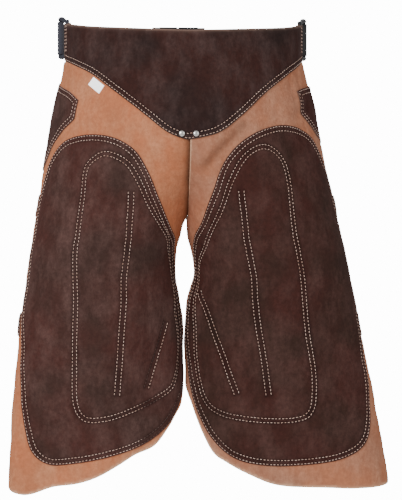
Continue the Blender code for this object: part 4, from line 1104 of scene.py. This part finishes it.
def make_pocket(side, place, pocket_rows, leg):
    """Knife pocket with its twin rows; the right one's mouth is hemmed over to the outside."""
    word, loop = SIDE_WORDS[side], outline(pocket_rows)
    rows = twin_rows(place, loop, True)
    mouth = open_line(pocket_rows[:3])
    hem = inset(place, mouth, HEM_WIDTH, False)

    def rise(flat):
        """Height of the hem over the pocket."""
        return HEM_RISE * (1 - smoothstep((distance(flat, mouth, False) - HEM_WIDTH) / HEM_SLOPE + 0.5))

    def wear(flat, worn):
        """Wear of the cut edge and of the hem's step."""
        return np.maximum(worn, dark_line(flat, hem, False, 1.0, HEM_WEAR))

    hemmed = {"lines": [(hem, False)], "rise": rise, "wear": wear} if side > 0 else {}
    cloth_piece(f"{word}_knife_pocket_suede", f"{word}_knife_pocket", place, loop, PATCH_LAYER,
                ("dark", side), rows, rests_on=[leg], **hemmed)
    sew(f"{word}_pocket_stitching", place, rows, PATCH_LAYER, 31 + side, hemmed.get("rise"))
    sew(f"{word}_pocket_stitching_inside", place, rows[:1], PANEL_LAYER, 61 + side, below=True)


def make_yoke():
    """Waist yoke with its folded ends, and its rows along the V and across the ends."""
    end, tab = YOKE_END, YOKE_END + (WRAP_LENGTH + TAB_LENGTH) / MM_PER_DEGREE
    right_tab = [(end, TAB_BOTTOM, 1), (tab, TAB_BOTTOM, 1), (tab, TAB_TOP, 1)]
    left_tab = [(-t, z, 1) for t, z, _ in reversed(right_tab)]
    left_top = [(-row[0], *row[1:]) for row in reversed(YOKE_TOP)]
    v_left = [(-end, YOKE_CORNER, 1)] + [(-t, z) for t, z in reversed(YOKE_LEFT_EDGE)]
    point = [(-YOKE_POINT[0], YOKE_POINT[1]), YOKE_POINT]
    v_right = YOKE_RIGHT_EDGE + [(end, YOKE_CORNER, 1)]
    top = right_tab + YOKE_TOP + [(0, YOKE_TOP_CENTRE)] + left_top + left_tab
    loop, v_line = outline(top + v_left + point + v_right), open_line(v_left + point + v_right)
    rows = twin_rows(yoke_place, v_line, False)
    for side in (-1, 1):
        for back in (END_ROW_BACK, END_ROW_BACK + TWIN):
            u = side * (YOKE_END * MM_PER_DEGREE - back)
            ends = np.array([(u, END_ROW_LOW), (u, END_ROW_HIGH)])
            rows.append((even(ends, False, PITCH / 2), False))

    def wear(flat, worn):
        """Rubbed along the top and the ends, but hardly along the V."""
        return worn * (1 - V_CALM * np.exp(-distance(flat, v_line, False) / V_REACH))

    cloth_piece("waist_yoke_suede", "yoke", yoke_place, loop, YOKE_LAYER, ("dark", 0), rows,
                held="stretched", wear=wear)
    heads = [rivet_frame(side)[0] for side in (-1, 1)]
    sew("yoke_stitching", yoke_place, rows, YOKE_LAYER, 5, clear=heads)
    sew("yoke_stitching_inside", yoke_place, rows[:2], PANEL_LAYER, 6, below=True)


def make_tab():
    """Bare size tab below the yoke's edge."""
    cloth_piece("size_tab_tape", "size_tab", leg_place(-1), outline(SIZE_TAB, 1.5), TAB_LAYER, ("tape", -1),
                rests_on=["left_tan_leg"], spacing=1.8)


def band(name, node, colour, outer, inner, lengths, width):
    """Closed strip of webbing from grids of its two faces, along by across, for a node of the frame."""
    long, wide = outer.shape[:2]
    points = np.vstack([outer.reshape(-1, 3), inner.reshape(-1, 3)])
    count = long * wide
    grid = np.arange(count).reshape(long, wide)
    a, b, c, d = grid[:-1, :-1].ravel(), grid[1:, :-1].ravel(), grid[1:, 1:].ravel(), grid[:-1, 1:].ravel()
    faces = [np.stack([a, b, c], -1), np.stack([a, c, d], -1)]
    faces += [face[:, ::-1] + count for face in faces[:2]]
    border = np.concatenate([grid[0, :], grid[1:, -1], grid[-1, -2::-1], grid[-2:0:-1, 0]])
    following = np.roll(border, -1)
    faces += [np.stack([following, border, border + count], -1),
              np.stack([following, border + count, following + count], -1)]
    uv = np.stack(np.meshgrid(lengths, BAND_SHARES * width / 2, indexing="ij"), -1).reshape(-1, 2) * MM
    strip = new_object(name, points, outward(points, np.vstack(faces)), [MATERIALS[colour]],
                       uv=np.vstack([uv, uv + (0.0, 0.5)]), sharp=55)
    finish_piece(strip, f"{colour}_webbing", node)


def make_strap(side, level):
    """Leg strap in two lengths that lap behind the leg."""
    word, place, thick = SIDE_WORDS[side], leg_place(side), BAND_THICK * WEBBING / 2
    for part, start, finish in (("outer", STRAP_START, LAP_TO), ("inner", LAP_FROM, STRAP_FINISH)):
        t = np.linspace(start, finish, STRAP_STATIONS)
        step = smoothstep((t - BACK_STEPS_START) / (BACK_STEPS_END - BACK_STEPS_START)) * STRAP_LAP
        offsets = sum(STRAP_LAYER) / 2 + (step if part == "outer" else 0 * step)[:, None]
        u, v = np.meshgrid(t * MM_PER_DEGREE, BAND_SHARES * STRAP_WIDTH / 2, indexing="ij")
        v += np.interp(t, (STRAP_START, STRAP_FINISH), STRAP_LEVELS[level])[:, None]
        outer, inner = (place(u.ravel(), v.ravel(), (offsets + face).ravel()).reshape(*u.shape, 3)
                        for face in (thick, -thick))
        band(f"{word}_{level}_webbing_{part}", f"{word}_{level}_strap_{part}", "black", outer, inner,
             lengths_along(outer[:, len(BAND_SHARES) // 2]), STRAP_WIDTH)


def belt_point(angle, shift):
    """Point on the belt's curve seen from above; 0 at the side, 90 at the centre of the back."""
    turn = math.radians(angle)
    normal = np.array([math.cos(turn) * BELT_DEPTH, math.sin(turn) * BELT_HALF_WIDTH])
    place = np.array([BELT_HALF_WIDTH * math.cos(turn), BELT_MIDDLE_Y + BELT_DEPTH * math.sin(turn)])
    return place + unit(normal) * shift


def half_turn(bar, radius, first):
    """Half turn of the belt round a bar, from a first angle."""
    reach = radius + LOOP_CLEAR + WEBBING / 2
    angles = np.radians(first + 180 * np.arange(TURN_STEPS + 1) / TURN_STEPS)
    return [bar + np.array([math.cos(a), math.sin(a)]) * reach for a in angles]


def buckle_bar():
    """Axis of the buckle's bar seen from above, for +X."""
    turn = BUCKLE_BAR_RADIUS + LOOP_CLEAR + WEBBING / 2
    return belt_point(math.degrees(math.acos(BUCKLE_BAR_X / BELT_HALF_WIDTH)), turn)


def make_belt(side):
    """Half of the belt, from its tail at the side loop to its tail at the buckle."""
    rear = np.array(LOOP_REAR)
    path = [belt_point(*row) for row in SIDE_TAIL] + [rear + SIDE_TAIL_BEND]
    path += half_turn(rear, LOOP_RADIUS, 180) + [belt_point(*row) for row in BELT_RUN]
    path += half_turn(buckle_bar(), BUCKLE_BAR_RADIUS, 90)[::-1]
    path += [belt_point(*row) for row in BUCKLE_TAIL]
    path = np.array(smooth_run(path, BELT_SPACING) + [path[-1]]) * (side, 1)
    way = unit(np.gradient(path, axis=0))
    out = np.stack([way[:, 1], -way[:, 0]], -1)
    z = np.broadcast_to(BELT_Z + BAND_SHARES * BELT_WIDTH / 2, (len(path), len(BAND_SHARES)))
    faces = []
    for sign in (1, -1):
        flat = path[:, None, :] + out[:, None, :] * (sign * BAND_THICK * WEBBING / 2)[None, :, None]
        faces.append(np.concatenate([flat, z[..., None]], -1))
    word, colour = SIDE_WORDS[side], "navy" if side < 0 else "black"
    band(f"{word}_belt_webbing", f"{word}_belt", colour, *faces, lengths_along(path), BELT_WIDTH)


def rivet_frame(side):
    """Centre of a rivet's head on the yoke and its outward direction."""
    u, v = np.array([side * RIVET_TURN * MM_PER_DEGREE]), np.array([RIVET_Z])
    seat, deeper = yoke_place(u, v, YOKE_LAYER[1] - RIVET_SUNK)[0], yoke_place(u, v, 0.0)[0]
    return seat, unit(seat - deeper)


def make_rivet(side):
    """Domed rivet head, seated in the suede."""
    seat, out = rivet_frame(side)
    level = unit(np.cross(np.array([0.0, 0.0, 1.0]), out))
    upright = np.cross(out, level)
    turns = 2 * math.pi * np.arange(RIVET_STEPS) / RIVET_STEPS
    round_way = np.cos(turns)[:, None] * level + np.sin(turns)[:, None] * upright
    rings = [seat + round_way * reach * RIVET_RADIUS + out * height * RIVET_HEIGHT
             for reach, height in RIVET_PROFILE]
    points = np.vstack([seat[None], *rings, (seat + out * RIVET_HEIGHT)[None]])
    faces = capped(1 + np.arange(len(points) - 2).reshape(-1, RIVET_STEPS), 0, len(points) - 1)
    rivet = new_object(f"{SIDE_WORDS[side]}_rivet_head", points, faces, [MATERIALS["nickel"]], sharp=50)
    finish_piece(rivet, "nickel", f"{SIDE_WORDS[side]}_rivet")


def resampled(path, normals):
    """Closed path with its normals, with points close together on its straights too."""
    chain, ways = np.vstack([path, path[:1]]), np.vstack([normals, normals[:1]])
    lengths = lengths_along(chain)
    marks = np.linspace(0, lengths[-1], round(lengths[-1] / LOOP_SPACING) + 1)[:-1]
    return read_at(marks, lengths, chain), unit(read_at(marks, lengths, ways))


def make_side_loop(side):
    """Moulded loop between the yoke and the belt: round bars joined by fuller rails."""
    front, _, _ = loop_bar(side)
    rear = np.array([side * LOOP_REAR[0], LOOP_REAR[1], 0.0])
    along = unit(rear - front)
    outward_way = np.cross(along, np.array([0.0, 0.0, 1.0]))
    half_long, half_high = np.linalg.norm(rear - front) / 2, LOOP_HEIGHT / 2 - LOOP_RADIUS
    middle = (front + rear) / 2 + np.array([0.0, 0.0, BELT_Z])
    path, normals = [], []
    for quarter, (way_long, way_high) in enumerate(((1, 1), (-1, 1), (-1, -1), (1, -1))):
        for turn in np.radians(90 * (quarter + np.arange(LOOP_STEPS + 1) / LOOP_STEPS)):
            normal = along * math.cos(turn) + np.array([0.0, 0.0, math.sin(turn)])
            corner = along * way_long * (half_long - LOOP_CORNER)
            corner = corner + np.array([0.0, 0.0, way_high * (half_high - LOOP_CORNER)])
            path.append(middle + corner + normal * LOOP_CORNER)
            normals.append(normal)
    path, normals = resampled(np.array(path), np.array(normals))
    rearward = smoothstep(0.5 + (path - middle) @ along / (2 * half_long))
    fat = smoothstep((np.abs(normals[:, 2]) - RAIL_FROM) / RAIL_FADE) * rearward
    path[:, 2] -= FRONT_DROP * (1 - rearward) * (path[:, 2] > BELT_Z + BELT_WIDTH / 2)
    path = path + normals * (fat * RAIL_EXTRA)[:, None]
    turns = 2 * math.pi * np.arange(BAR_SIDES) / BAR_SIDES
    high, wide = (LOOP_RADIUS + fat[:, None, None] * extra for extra in (RAIL_EXTRA, RAIL_WIDER))
    points = (path[:, None] + normals[:, None] * high * np.cos(turns)[None, :, None]
              + outward_way * wide * np.sin(turns)[None, :, None]).reshape(-1, 3)
    rings = np.arange(len(points)).reshape(len(path), BAR_SIDES)
    faces = outward(points - middle, between_rings(np.vstack([rings, rings[:1]])))
    finish = "navy_plastic" if side < 0 else "black_plastic"
    loop = new_object(f"{SIDE_WORDS[side]}_moulded_loop", points, faces, [MATERIALS[finish]], sharp=60)
    finish_piece(loop, "moulded_plastic", f"{SIDE_WORDS[side]}_belt_loop")


def dress_buckle():
    """Material of the frame's own buckle."""
    for node in ("buckle_socket", "buckle_plug"):
        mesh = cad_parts[node].data
        mesh.materials.clear()
        mesh.materials.append(MATERIALS["black_plastic"])


# Stage

def make_camera():
    """Camera at the photograph's angle."""
    data = bpy.data.cameras.new("camera")
    data.sensor_fit = "VERTICAL"
    data.sensor_height = SENSOR
    data.lens = SENSOR * CAMERA_DISTANCE / PICTURE_HEIGHT
    data.clip_end = 60.0
    camera = bpy.data.objects.new("camera", data)
    turn = math.radians(CAMERA_TURN)
    ahead, right = Vector((-math.sin(turn), math.cos(turn), 0)), Vector((math.cos(turn), math.sin(turn), 0))
    camera.location = -CAMERA_DISTANCE * ahead + CAMERA_SHIFT * right + Vector((0, 0, CAMERA_Z))
    camera.rotation_euler = (math.radians(90), 0, turn)
    bpy.context.scene.collection.objects.link(camera)
    bpy.context.scene.camera = camera


def add_lamp(name, place, target, size, power):
    """Soft area lamp."""
    data = bpy.data.lights.new(name, "AREA")
    data.shape = "DISK"
    data.size = size
    data.energy = power
    lamp = bpy.data.objects.new(name, data)
    lamp.location = place
    lamp.rotation_euler = (Vector(target) - Vector(place)).to_track_quat("-Z", "Y").to_euler()
    bpy.context.scene.collection.objects.link(lamp)


def make_stage():
    """White surroundings, brightest behind the chaps, a pale floor that fades out, and soft lamps."""
    world = bpy.data.worlds.new("studio")
    bpy.context.scene.world = world
    world.use_nodes = True
    tree = world.node_tree
    back = tree.nodes["Background"]
    direction = add(tree, "ShaderNodeTexCoord").outputs["Generated"]
    facing = add(tree, "ShaderNodeVectorMath", {0: direction, 1: GLOW_WAY}, operation="DOT_PRODUCT")
    glow = scaled(tree, facing.outputs["Value"], WORLD_LEVEL, WORLD_GLOW, *GLOW_EDGES,
                  interpolation_type="SMOOTHSTEP")
    tree.links.new(glow, back.inputs["Strength"])
    back.inputs["Color"].default_value = (1.0, 1.0, 1.0, 1.0)

    turns = np.linspace(0, 2 * math.pi, 65)[:-1]
    ring = [(FLOOR_RADIUS * math.cos(a), FLOOR_RADIUS * math.sin(a), FLOOR_Z) for a in turns]
    mesh = bpy.data.meshes.new("floor")
    mesh.from_pydata(ring, [], [list(range(len(ring)))])
    floor = bpy.data.objects.new("floor", mesh)
    bpy.context.scene.collection.objects.link(floor)
    material = bpy.data.materials.new("pale_floor")
    material.use_nodes = True
    tree = material.node_tree
    tree.nodes.clear()
    where = add(tree, "ShaderNodeTexCoord").outputs["Object"]
    reach = add(tree, "ShaderNodeVectorMath", {0: where}, operation="LENGTH").outputs["Value"]
    fade = scaled(tree, reach, 0.0, 1.0, FLOOR_FADE, FLOOR_RADIUS, interpolation_type="SMOOTHSTEP")
    pale = add(tree, "ShaderNodeBsdfDiffuse", {"Color": (0.86, 0.86, 0.86, 1.0)})
    clear = add(tree, "ShaderNodeBsdfTransparent")
    both = add(tree, "ShaderNodeMixShader", {0: fade, 1: pale.outputs[0], 2: clear.outputs[0]})
    out = add(tree, "ShaderNodeOutputMaterial")
    tree.links.new(both.outputs[0], out.inputs["Surface"])
    mesh.materials.append(material)

    for lamp in LAMPS:
        add_lamp(*lamp)


make_camera()
make_stage()
for leg_side in (-1, 1):
    make_leg(leg_side)
    make_belt(leg_side)
    for strap_level in STRAP_LEVELS:
        make_strap(leg_side, strap_level)
    make_side_loop(leg_side)
    make_rivet(leg_side)
make_yoke()
make_tab()
dress_buckle()
